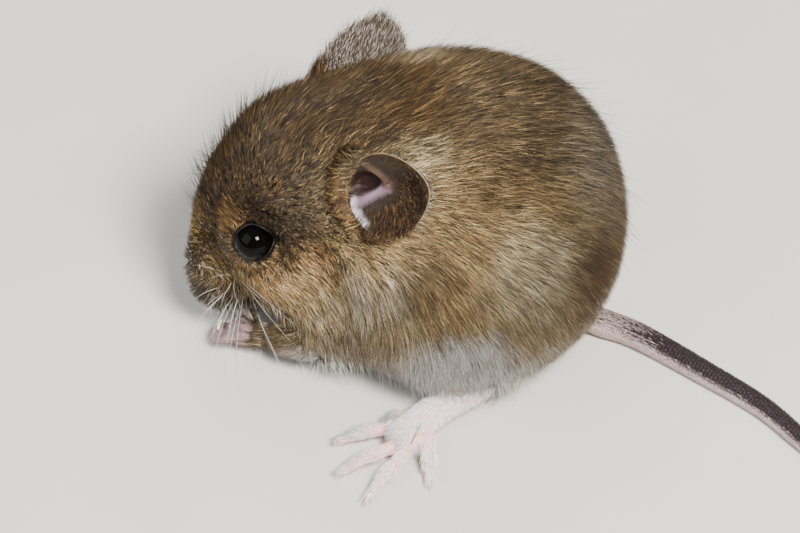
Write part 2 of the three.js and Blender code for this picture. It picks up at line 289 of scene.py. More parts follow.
class Nodes:
    # short ways to wire up a material
    def __init__(self, name):
        self.material = bpy.data.materials.new(name)
        self.material.use_nodes = True
        self.tree = self.material.node_tree
        self.shader = self.tree.nodes["Principled BSDF"]

    def add(self, kind, **settings):
        node = self.tree.nodes.new(kind)
        for key, value in settings.items():
            setattr(node, key, value)
        return node

    def link(self, output, socket):
        if hasattr(output, "is_output") or isinstance(output, bpy.types.NodeSocket):
            self.tree.links.new(output, socket)
        else:
            socket.default_value = output

    def attribute(self, name, output="Fac"):
        return self.add("ShaderNodeAttribute", attribute_name=name).outputs[output]

    def math(self, operation, *values):
        node = self.add("ShaderNodeMath", operation=operation)
        for value, socket in zip(values, node.inputs):
            self.link(value, socket)
        return node.outputs[0]

    def fade(self, value, low, high):
        node = self.add("ShaderNodeMapRange", interpolation_type="SMOOTHSTEP")
        self.link(value, node.inputs["Value"])
        node.inputs["From Min"].default_value = low
        node.inputs["From Max"].default_value = high
        return node.outputs["Result"]

    def mix(self, share, a, b, blend="MIX"):
        node = self.add("ShaderNodeMix", data_type="RGBA", blend_type=blend)
        self.link(share, node.inputs[0])
        self.link(a if not isinstance(a, tuple) else (*a, 1), node.inputs[6])
        self.link(b if not isinstance(b, tuple) else (*b, 1), node.inputs[7])
        return node.outputs[2]

    def noise(self, scale, detail=3, vector=None):
        node = self.add("ShaderNodeTexNoise")
        node.inputs["Scale"].default_value = scale
        node.inputs["Detail"].default_value = detail
        self.link(vector or self.add("ShaderNodeTexCoord").outputs["Object"], node.inputs["Vector"])
        return node.outputs["Fac"]

    def bump(self, height, strength, distance):
        node = self.add("ShaderNodeBump")
        node.inputs["Strength"].default_value = strength
        node.inputs["Distance"].default_value = distance
        self.link(height, node.inputs["Height"])
        self.link(node.outputs["Normal"], self.shader.inputs["Normal"])

    def finish(self, **values):
        for key, value in values.items():
            self.shader.inputs[key.replace("_", " ")].default_value = value
        return self.material


def colour(code):
    return tuple(float(part) for part in paint(code))


hairFinish = {
    "root": "2e2822",            # slate grey foot of the body's hairs
    "paleRoot": "d6bdb9",        # foot of the white hairs on the feet and tail
    "warmLitRoot": "5a3e20",        # foot of the hairs that lap over the ears, painted warm and light over the shade by the ear
    "tip": "120d08",
    "bandFrom": (0.25, 0.6),     # where the coloured band takes over from the grey
    "tipFrom": (0.66, 0.92),
    "roughness": 0.55,
}


def makeHairMaterial(name, root):
    m = Nodes(name)
    tone = m.add("ShaderNodeAttribute", attribute_name="hairTone")
    along = m.attribute("along")
    band = m.mix(m.fade(along, *hairFinish["bandFrom"]), colour(root), tone.outputs["Color"])
    tip = m.math("MULTIPLY", m.fade(along, *hairFinish["tipFrom"]), tone.outputs["Alpha"])
    tipped = m.mix(tip, band, colour(hairFinish["tip"]))
    flecks = m.fade(m.noise(2600, 2), 0.3, 0.75)
    flecked = m.mix(m.math("MULTIPLY", flecks, 0.25), tipped, (0.9, 0.85, 0.75), "SOFT_LIGHT")
    m.link(flecked, m.shader.inputs["Base Color"])
    return m.finish(Roughness=hairFinish["roughness"], Specular_IOR_Level=0.22)


def makeSkinMaterial():
    m = Nodes("skin")
    tone = m.attribute("flesh", "Color")
    blotches = m.noise(900, 5)
    fine = m.noise(5200, 4)
    blotchShare = m.math("MULTIPLY", m.fade(blotches, 0.35, 0.7), 0.35)
    mottled = m.mix(blotchShare, tone, (0.35, 0.12, 0.1), "MULTIPLY")
    rings = m.attribute("ringCount")
    turn = m.attribute("aroundTail")
    onTail = m.attribute("tail")
    row = m.math("FLOOR", rings)
    stagger = m.math("MULTIPLY", m.math("MODULO", row, 2.0), 0.5)
    scaleTurn = m.math("ADD", m.math("MULTIPLY", turn, 16.0), stagger)       # 16 scales round the tail
    across = m.math("ABSOLUTE", m.math("SUBTRACT", m.math("FRACT", scaleTurn), 0.5))
    down = m.math("FRACT", rings)
    scale = m.math("MULTIPLY", m.fade(across, 0.5, 0.36), m.fade(down, 1.0, 0.72))
    groove = m.math("MULTIPLY", onTail, m.math("SUBTRACT", 1.0, scale))
    grooved = m.mix(m.math("MULTIPLY", groove, 0.55), mottled, (0.12, 0.08, 0.09), "MULTIPLY")
    m.link(grooved, m.shader.inputs["Base Color"])
    height = m.math("ADD", m.math("MULTIPLY", fine, 0.5), m.math("MULTIPLY", groove, -0.8))
    m.bump(height, 0.6, 0.00012)
    m.link(m.math("MULTIPLY_ADD", fine, 0.25, 0.42), m.shader.inputs["Roughness"])
    return m.finish(Specular_IOR_Level=0.25, Subsurface_Weight=0.12, Subsurface_Scale=0.6,
                    Subsurface_Radius=(0.0012, 0.0005, 0.0003))


def makeEyeMaterial():
    m = Nodes("eye")
    depth = m.fade(m.noise(420, 3), 0.3, 0.8)
    dark = m.mix(m.math("MULTIPLY", depth, 0.5), colour("020202"), colour("0a0605"))
    m.link(dark, m.shader.inputs["Base Color"])
    return m.finish(Roughness=0.03, IOR=1.33, Specular_IOR_Level=0.16)


def makeClawMaterial():
    m = Nodes("claw")
    lines = m.fade(m.noise(2400, 3), 0.35, 0.7)
    horn = m.mix(m.math("MULTIPLY", lines, 0.5), colour("e2d3c4"), colour("b99a86"))
    m.link(horn, m.shader.inputs["Base Color"])
    m.bump(lines, 0.3, 0.00004)
    return m.finish(Roughness=0.32, Subsurface_Weight=0.1, Subsurface_Scale=0.5,
                    Subsurface_Radius=(0.0006, 0.0003, 0.0002))


def makeWhiskerMaterial():
    m = Nodes("whisker")
    along = m.attribute("along")
    tone = m.attribute("hairTone", "Color")
    m.link(m.mix(m.fade(along, 0.0, 0.35), colour("35302b"), tone), m.shader.inputs["Base Color"])
    return m.finish(Roughness=0.3, Specular_IOR_Level=0.6)


hairMaterial = makeHairMaterial("hair", hairFinish["root"])
paleHairMaterial = makeHairMaterial("pale_hair", hairFinish["paleRoot"])
warmLitHairMaterial = makeHairMaterial("warm_lit_hair", hairFinish["warmLitRoot"])
skinMaterial = makeSkinMaterial()
eyeMaterial = makeEyeMaterial()
clawMaterial = makeClawMaterial()
whiskerMaterial = makeWhiskerMaterial()


# the body under the coat
bodyNodes = ["trunk", "neck", "head", "snout", "jaw", "thigh_left", "thigh_right"]
bodyShape = {
    "draftVoxel": 0.5,
    "skinVoxel": 0.24,
    "closeGaps": 0.3,            # how far the nodes are swollen so that the cuts between them close
    "bodyCoat": 2.0,             # depth of the coat from the skin to the tips of the hair
    "bellyCoat": 1.7,
    "thighCoat": 1.9,
    "jawCoat": 0.75,
    # the coat thins towards the nose: distance from the nose, depth
    "faceCoat": ([1.2, 3, 6, 10, 14, 20, 27], [0.12, 0.35, 0.6, 0.85, 1.15, 1.7, 2.0]),
}


def nodeShape(name, swell):
    mesh = bmesh.new()
    mesh.from_mesh(frame["nodes"][name].data)
    bmesh.ops.remove_doubles(mesh, verts=mesh.verts, dist=2e-6)
    mesh.normal_update()
    points = toMillimetres([vertex.co for vertex in mesh.verts])
    points = points + np.array([vertex.normal for vertex in mesh.verts]) * swell
    faces = [tuple(vertex.index for vertex in face.verts) for face in mesh.faces]
    mesh.free()
    return points, faces


nodePlaces = {name: nodeShape(name, 0)[0] for name in bodyNodes}
labelTree = KDTree(sum(len(places) for places in nodePlaces.values()))
labelOf = []
for number, (name, places) in enumerate(nodePlaces.items()):
    for place in places:
        labelTree.insert(place, len(labelOf))
        labelOf.append(number)
labelTree.balance()


def nodeUnder(points):
    # the number in bodyNodes of the node that each point is closest to
    return np.array([labelOf[labelTree.find(point)[1]] for point in points])


def isNode(label, *names):
    return np.isin(label, [bodyNodes.index(name) for name in names])


def coatDepth(points):
    label = nodeUnder(points)
    fromNose = np.linalg.norm(points - noseTip, axis=1)
    face = np.interp(fromNose, *bodyShape["faceCoat"])
    under = rise(points[:, 2], 9, 1)
    depth = mixed(bodyShape["bodyCoat"], bodyShape["bellyCoat"], under)
    depth = np.where(isNode(label, "head", "snout"), face, depth)
    depth = np.where(isNode(label, "jaw"), bodyShape["jawCoat"], depth)
    return np.where(isNode(label, "thigh_left", "thigh_right"), bodyShape["thighCoat"], depth)


hindFoot = {
    "sole": [(-7.4, 9.4, 2.5), (-4.8, 11.6, 2.1), (-1.9, 13.8, 1.75), (0.8, 16.2, 1.5), (2.9, 18, 1.2)],
    "soleRadii": [1.85, 1.75, 1.65, 1.75, 1.5],
    "soleFlat": 0.8,
    "shank": [(-1, 9, 8.5), (-4, 8.8, 5.6), (-7.2, 9.2, 2.9)],
    "shankRadii": [3.2, 2.4, 1.8],
    "instep": (-1.0, 14.2, 1.6),
    "toes": [((1, 14.4, 1), (2.9, 14.3, 0.65)), ((3.3, 15.9, 1), (7.7, 16.9, 0.65)),
             ((3.1, 18.5, 1), (7.5, 21, 0.65)), ((2.1, 20.1, 1), (4.9, 24.2, 0.65)),
             ((-0.7, 18.2, 1), (-0.9, 21.9, 0.65))],
    "toeRadii": [1.05, 0.8, 0.7, 0.74, 0.62, 0.5],
    "arch": 0.35,                # how far the middle joint of a toe stands above its ends
    "pads": [(3.4, 15.8, 0.62, 0.6), (3.3, 18.0, 0.6, 0.62), (2.0, 19.6, 0.6, 0.6),
             (-0.2, 17.4, 0.6, 0.55), (0.6, 14.6, 0.6, 0.5), (-3.2, 11.6, 0.7, 0.65)],
}
foreleg = {
    "route": [(8.2, 6.4, 7), (10, 6.7, 5), (12.6, 6.2, 3.9), (15.8, 5, 3.2)],
    "radii": [2.6, 2.2, 1.6, 1.05],
    "palm": [(15.6, 5, 3.2), (17, 4.5, 3), (18.3, 3.9, 2.7), (19.2, 3.5, 2.4)],
    "palmRadii": [1.05, 1.3, 1.5, 1.25],
    "fingers": [((19.3, 4.9, 2.6), (20.4, 4.4, 2), (20.2, 3.3, 2.4)),
                ((19.7, 3.9, 2.2), (20.7, 3.2, 1.5), (20.1, 2.2, 1.9)),
                ((19.3, 3.1, 1.9), (20, 2.3, 1.2), (19.2, 1.6, 1.5)),
                ((18.6, 2.6, 1.8), (19.1, 1.9, 1.2), (18.2, 1.3, 1.4))],
    "fingerRadii": [0.6, 0.5, 0.42, 0.46, 0.38],
}


def toeRoute(root, tip, start):
    root, tip, start = (np.array(point, float) for point in (root, tip, start))
    middle = (root + tip) / 2 + np.array([0, 0, hindFoot["arch"]])
    beforeTip = mixed(middle, tip, 0.6) - np.array([0, 0, 0.08])
    return [mixed(root, start, 0.55), root + np.array([0, 0, 0.15]), middle, beforeTip, tip]


def legShapes():
    shapes = [
        tube(hindFoot["sole"], hindFoot["soleRadii"], 18, 28, hindFoot["soleFlat"]),
        tube(hindFoot["shank"], hindFoot["shankRadii"], 16, 16, up=(0, 1, 0)),
        tube(foreleg["route"], foreleg["radii"], 16, 20),
        tube(foreleg["palm"], foreleg["palmRadii"], 16, 16, 0.95),
    ]
    for root, tip in hindFoot["toes"]:
        shapes.append(tube(toeRoute(root, tip, hindFoot["instep"]), hindFoot["toeRadii"], 12, 22))
        shapes.append(ball(np.array(tip) - (0, 0, 0.1), (0.58, 0.58, 0.48), 12, 8))
    for x, y, z, radius in hindFoot["pads"]:
        shapes.append(ball((x, y, z), (radius, radius, radius * 0.8), 12, 8))
    for knuckle, bend, tip in foreleg["fingers"]:
        start = mixed(np.array(knuckle), np.array(foreleg["palm"][2]), 0.6)
        shapes.append(tube([start, knuckle, bend, tip], foreleg["fingerRadii"], 12, 18))
    return shapes


lips = {
    "pads": [((20.4, 1.35, 6.9), (1.9, 1.25, 1.9)), ((19.4, 1.9, 6.2), (1.7, 1.2, 1.6))],
    "nose": [((22.5, 0, 7.35), (0.95, 1.0, 0.85)), ((22.35, 0.55, 7.2), (0.75, 0.62, 0.7))],
    "socket": [((16.25, 4.15, 16.15), (3.5, 2.0, 3.3)), ((15.9, 4.5, 16.5), (2.8, 2.0, 2.5))],
}

print("body: closing the cuts between the nodes")
swollen = joined([nodeShape(name, bodyShape["closeGaps"]) for name in bodyNodes])
draftPoints, draftQuads = remeshed(swollen, bodyShape["draftVoxel"])
draftEdges = edgesOf(draftQuads)
draftPoints = averaged(draftPoints, draftEdges, 4)
draftNormals = unit(averaged(normalsOf(draftPoints, draftQuads), draftEdges, 10))
draftDepth = averaged(coatDepth(draftPoints), draftEdges, 25) + bodyShape["closeGaps"]
core = (draftPoints - draftNormals * draftDepth[:, None], [tuple(quad) for quad in draftQuads])

print("body: joining the legs, paws and nose to it")
oneSide = legShapes() + [ball(*shape) for shape in lips["pads"] + lips["nose"][1:] + lips["socket"]]
wholeShape = joined([core, ball(*lips["nose"][0])] + oneSide + [mirrored(shape) for shape in oneSide])
skinPoints, skinQuads = remeshed(wholeShape, bodyShape["skinVoxel"])
skinEdges = edgesOf(skinQuads)
skinPoints = averaged(skinPoints, skinEdges, 2, 0.5)
fromEye = np.linalg.norm(inFold(skinPoints) - eyeShape["centre"], axis=1)
aroundEye = rise(fromEye, 6.5, 4.0)
skinPoints = averaged(skinPoints, skinEdges, 24, aroundEye * 0.6)
print("body:", len(skinPoints), "points")


def eyeAngles(points, side):
    # how far each point is from the middle of the eye's opening (1 at its rim) and from the eye's centre
    looks = unit(onSide(eyeShape["looks"], side))
    longWay = np.array(eyeShape["longWay"], float)
    longWay = unit(longWay - looks * (longWay @ looks))
    highWay = np.cross(looks, longWay)
    out = points - onSide(eyeShape["centre"], side)
    away = np.linalg.norm(out, axis=1)
    out = unit(out)
    a = np.degrees(np.arctan2(out @ longWay, out @ looks)) / eyeShape["opening"][0]
    b = np.degrees(np.arctan2(out @ highWay, out @ looks)) / eyeShape["opening"][1]
    return np.hypot(a, b), away, out


def carveLids(points, side):
    ring, away, out = eyeAngles(points, side)
    radius = eyeShape["radius"]
    lidRise = np.array([-1.5, 0, 0.8, 0.9, 0.6, 0.2]) * eyeShape["lidRim"]
    lid = np.interp(ring, [0.9, 0.96, 1.02, 1.1, 1.3, 1.6], lidRise)
    lid = np.where(ring < 0.9, -0.45, lid)
    wanted = radius + lid
    hold = rise(ring, 1.75, 1.2) * (away < radius + 2.5)
    lifted = np.where(ring < 1.25, wanted, np.maximum(away, wanted))
    return points + out * ((lifted - away) * hold)[:, None]


def finer(points, quads, centres, reach):
    # splits the faces near the given places once, for crisp edges
    mesh = bmesh.new()
    made = [mesh.verts.new(point) for point in points]
    for quad in quads:
        mesh.faces.new([made[i] for i in quad])
    mesh.verts.index_update()
    centres = np.array(centres)
    gaps = np.linalg.norm(points[:, None] - centres[None], axis=2) / np.array(reach)[None]
    close = np.min(gaps, axis=1) < 1
    edges = [edge for edge in mesh.edges if close[edge.verts[0].index] and close[edge.verts[1].index]]
    bmesh.ops.subdivide_edges(mesh, edges=edges, cuts=1, use_grid_fill=True)
    bmesh.ops.triangulate(mesh, faces=[face for face in mesh.faces if len(face.verts) > 4])
    mesh.verts.index_update()
    newPoints = np.array([vertex.co for vertex in mesh.verts])
    faces = [tuple(vertex.index for vertex in face.verts) for face in mesh.faces]
    mesh.free()
    return newPoints, faces


def asQuads(faces):
    return np.array([face if len(face) == 4 else (*face, face[-1]) for face in faces])


eyePlaces = [onSide(eyeShape["centre"], side) for side in (1, -1)]
skinPoints, skinFaces = finer(skinPoints, skinQuads, [*eyePlaces, noseTip], [4.2, 4.2, 2.6])
skinQuads = asQuads(skinFaces)
skinEdges = edgesOf(skinQuads)
skinEdges = skinEdges[skinEdges[:, 0] != skinEdges[:, 1]]
for side in (1, -1):
    skinPoints = carveLids(skinPoints, side)

# nostrils and mouth
nostril = {"place": (23.05, 0.62, 7.25), "reach": (0.45, 0.3, 0.34), "depth": 0.45}
for side in (1, -1):
    inNostril = near(skinPoints, onSide(nostril["place"], side), nostril["reach"])
    skinPoints = skinPoints - np.array([0.7, 0.5 * side, 0.2]) * (inNostril * nostril["depth"])[:, None]
x, y, z = skinPoints.T
cleft = rise(np.abs(y), 0.22, 0.0) * rise(x, 21.2, 22.2) * rise(z, 7.2, 6.4)
skinPoints = skinPoints - np.array([1.0, 0, -0.3]) * (cleft * 0.3)[:, None]
skinPoints = averaged(skinPoints, skinEdges, 3, 0.35)
skinPoints[:, 2] = np.maximum(skinPoints[:, 2], 0.03)
skinNormals = normalsOf(skinPoints, skinQuads)
print("body: lids and nostrils cut,", len(skinPoints), "points")

ear = {
    "left": {"root": (6, 10.1, 26.9), "towards": (-0.66, 0.46, 0.59), "facing": (0.5, 0.74, 0.45)},
    "right": {"root": (7, -9.9, 22.7), "towards": (-0.3, 0, 0.9), "facing": (0.12, -0.85, 0.05)},
    "length": 11.8, "width": 8.4, "cup": 1.9, "sunk": 1.6,
    "rootWidth": 0.62, "fullFrom": 0.18, "fullness": 0.8,
    "skin": 0.42,                # thickness in the middle
    "rings": 44, "around": 120,
}


def earFrame(name):
    along = unit(np.array(ear[name]["towards"]))
    facing = np.array(ear[name]["facing"], float)
    front = unit(facing - along * (facing @ along))
    across = np.cross(along, front) * (1 if name == "left" else -1)
    return np.array(ear[name]["root"], float), along, front, across


def earDisc(x, y):
    # across and along the ear, in millimetres, for a place in the unit disc
    share = (y + 1) / 2
    turned = math.pi * mixed(ear["fullFrom"], 1, share) ** ear["fullness"]
    swell = np.sqrt(np.maximum(np.sin(turned), 0))
    return x * ear["width"] / 2 * mixed(ear["rootWidth"], 1, swell), ear["length"] * share - ear["sunk"]


def foldShare(c, a, points, width):
    # 1 on a bent line in the ear's own plane, fading to 0 at its width
    best = np.full(np.shape(c), 9.0)
    for (c0, a0), (c1, a1) in zip(points[:-1], points[1:]):
        t = np.clip(((c - c0) * (c1 - c0) + (a - a0) * (a1 - a0)) / ((c1 - c0) ** 2 + (a1 - a0) ** 2), 0, 1)
        best = np.minimum(best, np.hypot(c - c0 - t * (c1 - c0), a - a0 - t * (a1 - a0)))
    return rise(best, width, 0)


earFolds = {
    "ridge": [(-3.9, 1.3), (-2.8, 2.1), (-1.7, 2.8), (-0.8, 3.2)],
    "lobe": [(0.25, -0.3), (-0.2, 1.2), (-0.5, 2.8)],
    "edge": [(-0.1, -0.8), (0.8, -0.9), (1.7, -0.5), (2.5, 0.2)],
}


def earMasks(c, a):
    pocket = rise(np.hypot((c + 1.5) / 1.1, (a - 0.5) / 1.8), 1.15, 0.5)
    ridge = foldShare(c, a, earFolds["ridge"], 0.7)
    edge = foldShare(c, a, earFolds["edge"], 0.6)
    lobe = foldShare(c, a, earFolds["lobe"], 0.75) ** 0.6
    return pocket, ridge, edge, lobe


def earShell(name):
    root, along, front, across = earFrame(name)
    angle = np.arange(ear["around"]) * 2 * math.pi / ear["around"]
    radius = np.sin(np.linspace(0.02, math.pi / 2, ear["rings"]))
    points, masks = [], []
    for face in (1, -1):
        reach = radius if face == 1 else radius[:-1]
        x, y = np.outer(reach, np.cos(angle)), np.outer(reach, np.sin(angle))
        c, a = earDisc(x, y)
        spread = x * x + y * y
        depth = ear["cup"] * (spread - 1)
        half = ear["skin"] / 2 * np.sqrt(np.maximum(1 - spread ** 6, 0)) * mixed(1.0, 0.7, rise(a, 3, 9))
        pocket, ridge, edge, lobe = earMasks(c, a)
        veins = 0.03 * np.sin(c * 3 + np.sin(a * 1.3) * 2)
        if face == 1:
            inner = rise(spread, 1.0, 0.8)
            rim = rise(spread, 0.86, 0.97) * 0.12
            depth = depth + half + rim * np.sqrt(np.maximum(1 - spread ** 12, 0)) + inner * (
                0.28 * ridge + 0.45 * edge + 0.4 * lobe - 0.9 * pocket + veins)
        else:
            depth = depth - half - pocket * 0.9
        place = (root + c[..., None] * across + a[..., None] * along + depth[..., None] * front)
        points.append(place.reshape(-1, 3))
        rimPale = rise(spread, 0.94, 0.99)
        data = np.stack([c, a, spread, pocket * (face == 1), edge * (face == 1), ridge * (face == 1),
                         lobe * (face == 1), rimPale, np.full_like(c, face)], axis=-1)
        masks.append(data.reshape(-1, data.shape[-1]))
    around, rings = ear["around"], ear["rings"]
    start = rings * around
    faces = gridFaces(rings, around, turned=True) + gridFaces(rings - 1, around, start)
    frontRim, backRim = (rings - 1) * around, start + (rings - 2) * around
    for step in range(around):
        after = (step + 1) % around
        faces.append((backRim + step, backRim + after, frontRim + after, frontRim + step))
    middles = [part[:around].mean(axis=0) for part in points]
    points = np.vstack([*points, *middles])
    masks = np.vstack([*masks, masks[0][:1], masks[1][:1]])
    for step in range(around):
        after = (step + 1) % around
        faces.append((len(points) - 2, step, after))
        faces.append((len(points) - 1, start + after, start + step))
    if name == "right":
        faces = [tuple(reversed(face)) for face in faces]
    return points, faces, masks


tail = {
    "route": [(-13.5, 0, 3), (-18, 1.5, 1.6), (-22, 3.2, 1.15), (-28, 7.9, 1.1), (-34, 13, 1.05),
              (-39, 19, 1), (-44.5, 24, 0.86), (-51, 26.8, 0.72), (-58, 27.4, 0.58), (-65, 26, 0.45)],
    "rootRadius": 1.45, "tipRadius": 0.43,
    "ringSpacing": 0.38, "stepsPerRing": 4, "ringRise": 0.04,
    "around": 18,
}


def tailShell():
    rings = int(smoothRoute(tail["route"], 50)[1] / tail["ringSpacing"])
    count = rings * tail["stepsPerRing"] + 1
    line, _ = smoothRoute(tail["route"], count)
    tangent = unit(np.gradient(line, axis=0))
    side = unit(np.cross(tangent, (0, 0, 1)))
    top = np.cross(side, tangent)
    share = np.linspace(0, 1, count)
    phase = np.arange(count) / tail["stepsPerRing"]
    radius = mixed(tail["rootRadius"], tail["tipRadius"], share)
    radius = radius * (1 + tail["ringRise"] * (0.5 - phase % 1))
    radius = radius * np.sqrt(np.clip((1 - share) / 0.012, 0.02, 1))
    angle = np.arange(tail["around"]) * 2 * math.pi / tail["around"]
    ring = side[:, None] * np.cos(angle)[None, :, None] + top[:, None] * np.sin(angle)[None, :, None]
    points = (line[:, None] + ring * radius[:, None, None]).reshape(-1, 3)
    around = tail["around"]
    data = np.stack([np.repeat(phase, around), np.tile(angle / (2 * math.pi), count),
                     np.repeat(share, around), np.tile(np.sin(angle), count)], axis=1)
    points[:, 2] = np.maximum(points[:, 2], 0.03)
    return (points, closedGrid(count, around)), data, line, radius


print("ears and tail")
earLeft, earRight = earShell("left"), earShell("right")
tailShape, tailData, tailLine, tailRadius = tailShell()

# colours of the coat and the bare skin
coat = {
    "flank": "927a55", "back": "5e4e3a", "crown": "4d3c26", "forehead": "3d2b0f", "rump": "7b6545",
    "lowFlank": "9a8b72", "belly": "f4f2ef", "cheek": "b88e5a", "underEye": "855214",
    "muzzle": "47433f", "earFront": "8a5a2a", "rearOrangeAndShade": "54350f", "greyRear": "b5a48b",
    "streak": "b5ab9a", "nape": "4a3311", "litFlank": "b3a68c", "shoulder": "584b39",
    "throat": "c4beb4", "brow": "382b1e", "bridge": "80663c", "napePale": "c2b08c",
}
flesh = {
    "foot": "e6adab", "pad": "d3948f", "nose": "b9857c", "nostril": "3a1a16", "lid": "080504",
    # nostril: painted shade inside the nostril holes
    "underCoat": "2a2119", "earInside": "271c14", "earMembrane": "3c2f1c", "earHoleShade": "1e0706",
    "earLobe": "7a6673", "earEdge": "b5adb3", "earRidge": "4c3b2d", "earRim": "9a835e",
    # paw: pinkish grey, darkened with painted shade from the head above it
    "earBack": "4e4038", "tailTop": "2e242a", "tailUnder": "bfaeb6", "paw": "86706f",
}

# patches of the coat on both sides: middle, reach, how full they are (a power) and how strong
coatSpots = {
    "greyRear": ((-15.5, 3, 25), (6, 7, 7), 0.5, 0.8),
    "nape": ((3, 3, 31), (7, 8, 6), 1, 0.9),
    "brow": ((13.5, 6.5, 19.5), (4.5, 4, 4), 1, 0.9),
    # a paler patch high on the flank: painted light where the flank faces the lamps
    "litFlank": ((-9, 12.5, 20.5), (6.5, 6, 6.5), 0.6, 0.85),
    # the lower rear: its own orange-brown, darkened with painted shade where it faces away from the light
    "rearOrangeAndShade": ((-15.6, 9.5, 17), (4.6, 5, 6), 0.5, 0.95),
    "shoulder": ((1.2, 12.5, 21), (4, 4, 3.6), 0.6, 0.8),
    "underEye": ((18.2, 4.5, 11), (2.6, 3, 2.4), 0.7, 0.9),
    "earFront": ((8.6, 9.2, 24.5), (3.6, 4, 4.5), 1, 0.8),
    "napePale": ((2.4, 7, 29.6), (4.4, 3, 3), 0.7, 0.9),
}
cheekSpots = [((16, 6, 13), (4.6, 4, 4), 0.9), ((10.4, 8, 16.2), (4, 4, 3.8), 0.75)]
cornerSpot = ((18.3, 4, 17.6), (3, 3, 3), 0.5)          # ahead of the eye
streakSpots = [((7.2, 10.6, 15), (3.2, 4, 5)), ((4.0, 12.6, 17.6), (3, 4, 4))]


def coatTones(places):
    x, y, z = places.T
    wide = np.abs(y)
    fromNose = np.linalg.norm(places - noseTip, axis=1)
    sided = np.stack([x, wide, z], axis=1)
    tone = np.tile(paint(coat["flank"]), (len(places), 1))

    def blend(code, share):
        nonlocal tone
        tone = mixed(tone, paint(coat[code])[None], np.clip(share, 0, 1)[:, None])

    def blendSpot(code):
        middle, reach, power, strength = coatSpots[code]
        blend(code, near(sided, middle, reach) ** power * strength)

    patches = wander(places, 9, 3)
    blend("back", rise(z + patches * 1.5, 20, 30) * rise(wide, 15, 7) * 0.9)
    blend("rump", rise(x, -9, -17) * 0.6)
    blendSpot("greyRear")
    blendSpot("nape")
    blend("crown", rise(x, 2, 7) * rise(wide, 9.5, 5) * rise(z, 12, 17))
    blend("forehead", rise(x, 11, 15.5) * rise(z, 14, 19) * 0.9)
    blendSpot("brow")
    blend("lowFlank", rise(z + patches, 15, 7) * rise(x, 14, 6) * 0.75)
    blend("streak", np.maximum(*[near(sided, *spot) for spot in streakSpots]) * 0.9)
    # painted light on the flank
    blendSpot("litFlank")
    # painted shade on the lower rear, over its own orange-brown
    blendSpot("rearOrangeAndShade")
    blendSpot("shoulder")
    for middle, reach, strength in cheekSpots:
        blend("cheek", near(sided, middle, reach) * strength)
    blendSpot("underEye")
    blend("cheek", near(sided, *cornerSpot[:2]) * cornerSpot[2])
    blendSpot("earFront")
    blend("muzzle", rise(fromNose + patches * 0.4, 8.6, 6.2) * 0.95)
    onBridge = rise(z + wide, 10.5, 13)
    blend("bridge", rise(fromNose, 11, 7) * onBridge)
    blendSpot("napePale")
    # white below: the line rises over the foot
    low = wide - z + 3.8 * rise(x, 3, 0) * rise(x, -8.5, -5.5)
    whiteBelow = rise(low + patches * 0.6, 1.6, 4.8) * rise(x, 13, 10) * rise(x, -14, -11)
    blend("belly", whiteBelow)
    blend("belly", rise(z + patches * 0.5, 3.6, 1.6) * rise(x, 14, 10))
    blend("throat", rise(z, 6.4, 4.8) * rise(x, 12, 16) * rise(wide, 5, 3.5))
    # dark hairs gather on the back and crown, pale ones low on the flanks
    dark = 0.17 + 0.25 * rise(z + patches * 2, 18, 31) * rise(wide, 16, 6)
    dark = dark + 0.16 * rise(fromNose, 7, 12) * rise(x, 4, 10) * rise(z, 14, 20)
    dark = dark * mixed(0.6, 1, rise(z, 3, 9))
    dark = mixed(dark, 0.2, whiteBelow)
    lowMuzzle = rise(z + wide, 12, 10)
    dark = mixed(dark, 0.5, rise(fromNose, 9, 6) * lowMuzzle)
    # the lower rear's painted shade also keeps pale hairs out of it
    orangeAndShadedRear = near(sided, *coatSpots["rearOrangeAndShade"][:2]) ** 0.5
    pale = 0.03 + 0.3 * rise(z, 20, 9) * mixed(1, 0.45, rise(x, 9, 13)) * (1 - 0.9 * orangeAndShadedRear)
    pale = mixed(pale, 0.26, rise(fromNose, 8, 5) * lowMuzzle)
    return tone, np.clip(dark, 0, 1), np.clip(pale, 0, 1)


def limbRoutes(footSteps, toeSteps, palmSteps, fingerSteps):
    # the lines down the middle of the foot, its toes, the palm and its fingers
    lines = [smoothRoute(hindFoot["sole"], footSteps)[0]]
    lines += [smoothRoute([root, tip], toeSteps)[0] for root, tip in hindFoot["toes"]]
    lines += [smoothRoute(foreleg["palm"], palmSteps)[0]]
    lines += [smoothRoute(finger, fingerSteps)[0] for finger in foreleg["fingers"]]
    return lines


# the parts of the skin that no coat covers: each point's share of paw, foot, lid and nose
legLines = limbRoutes(12, 8, 12, 8)
legLines[0] = legLines[0][2:]             # the heel is in the coat
palmAt = 1 + len(hindFoot["toes"])
legLines[palmAt] = legLines[palmAt][7:]   # and so is the wrist
pawTree = treeOf(np.vstack(legLines))
pawGap = [pawTree.find(point)[2] if point[2] < 5.5 else 9.0 for point in inFold(skinPoints)]
skinBare = rise(pawGap, 2.1, 1.6)
skinTone, _, _ = coatTones(skinPoints)
skinTone = mixed(skinTone, paint(flesh["underCoat"])[None], 0.75)
onForepaw = rise(skinPoints[:, 0], 10, 12)[:, None]
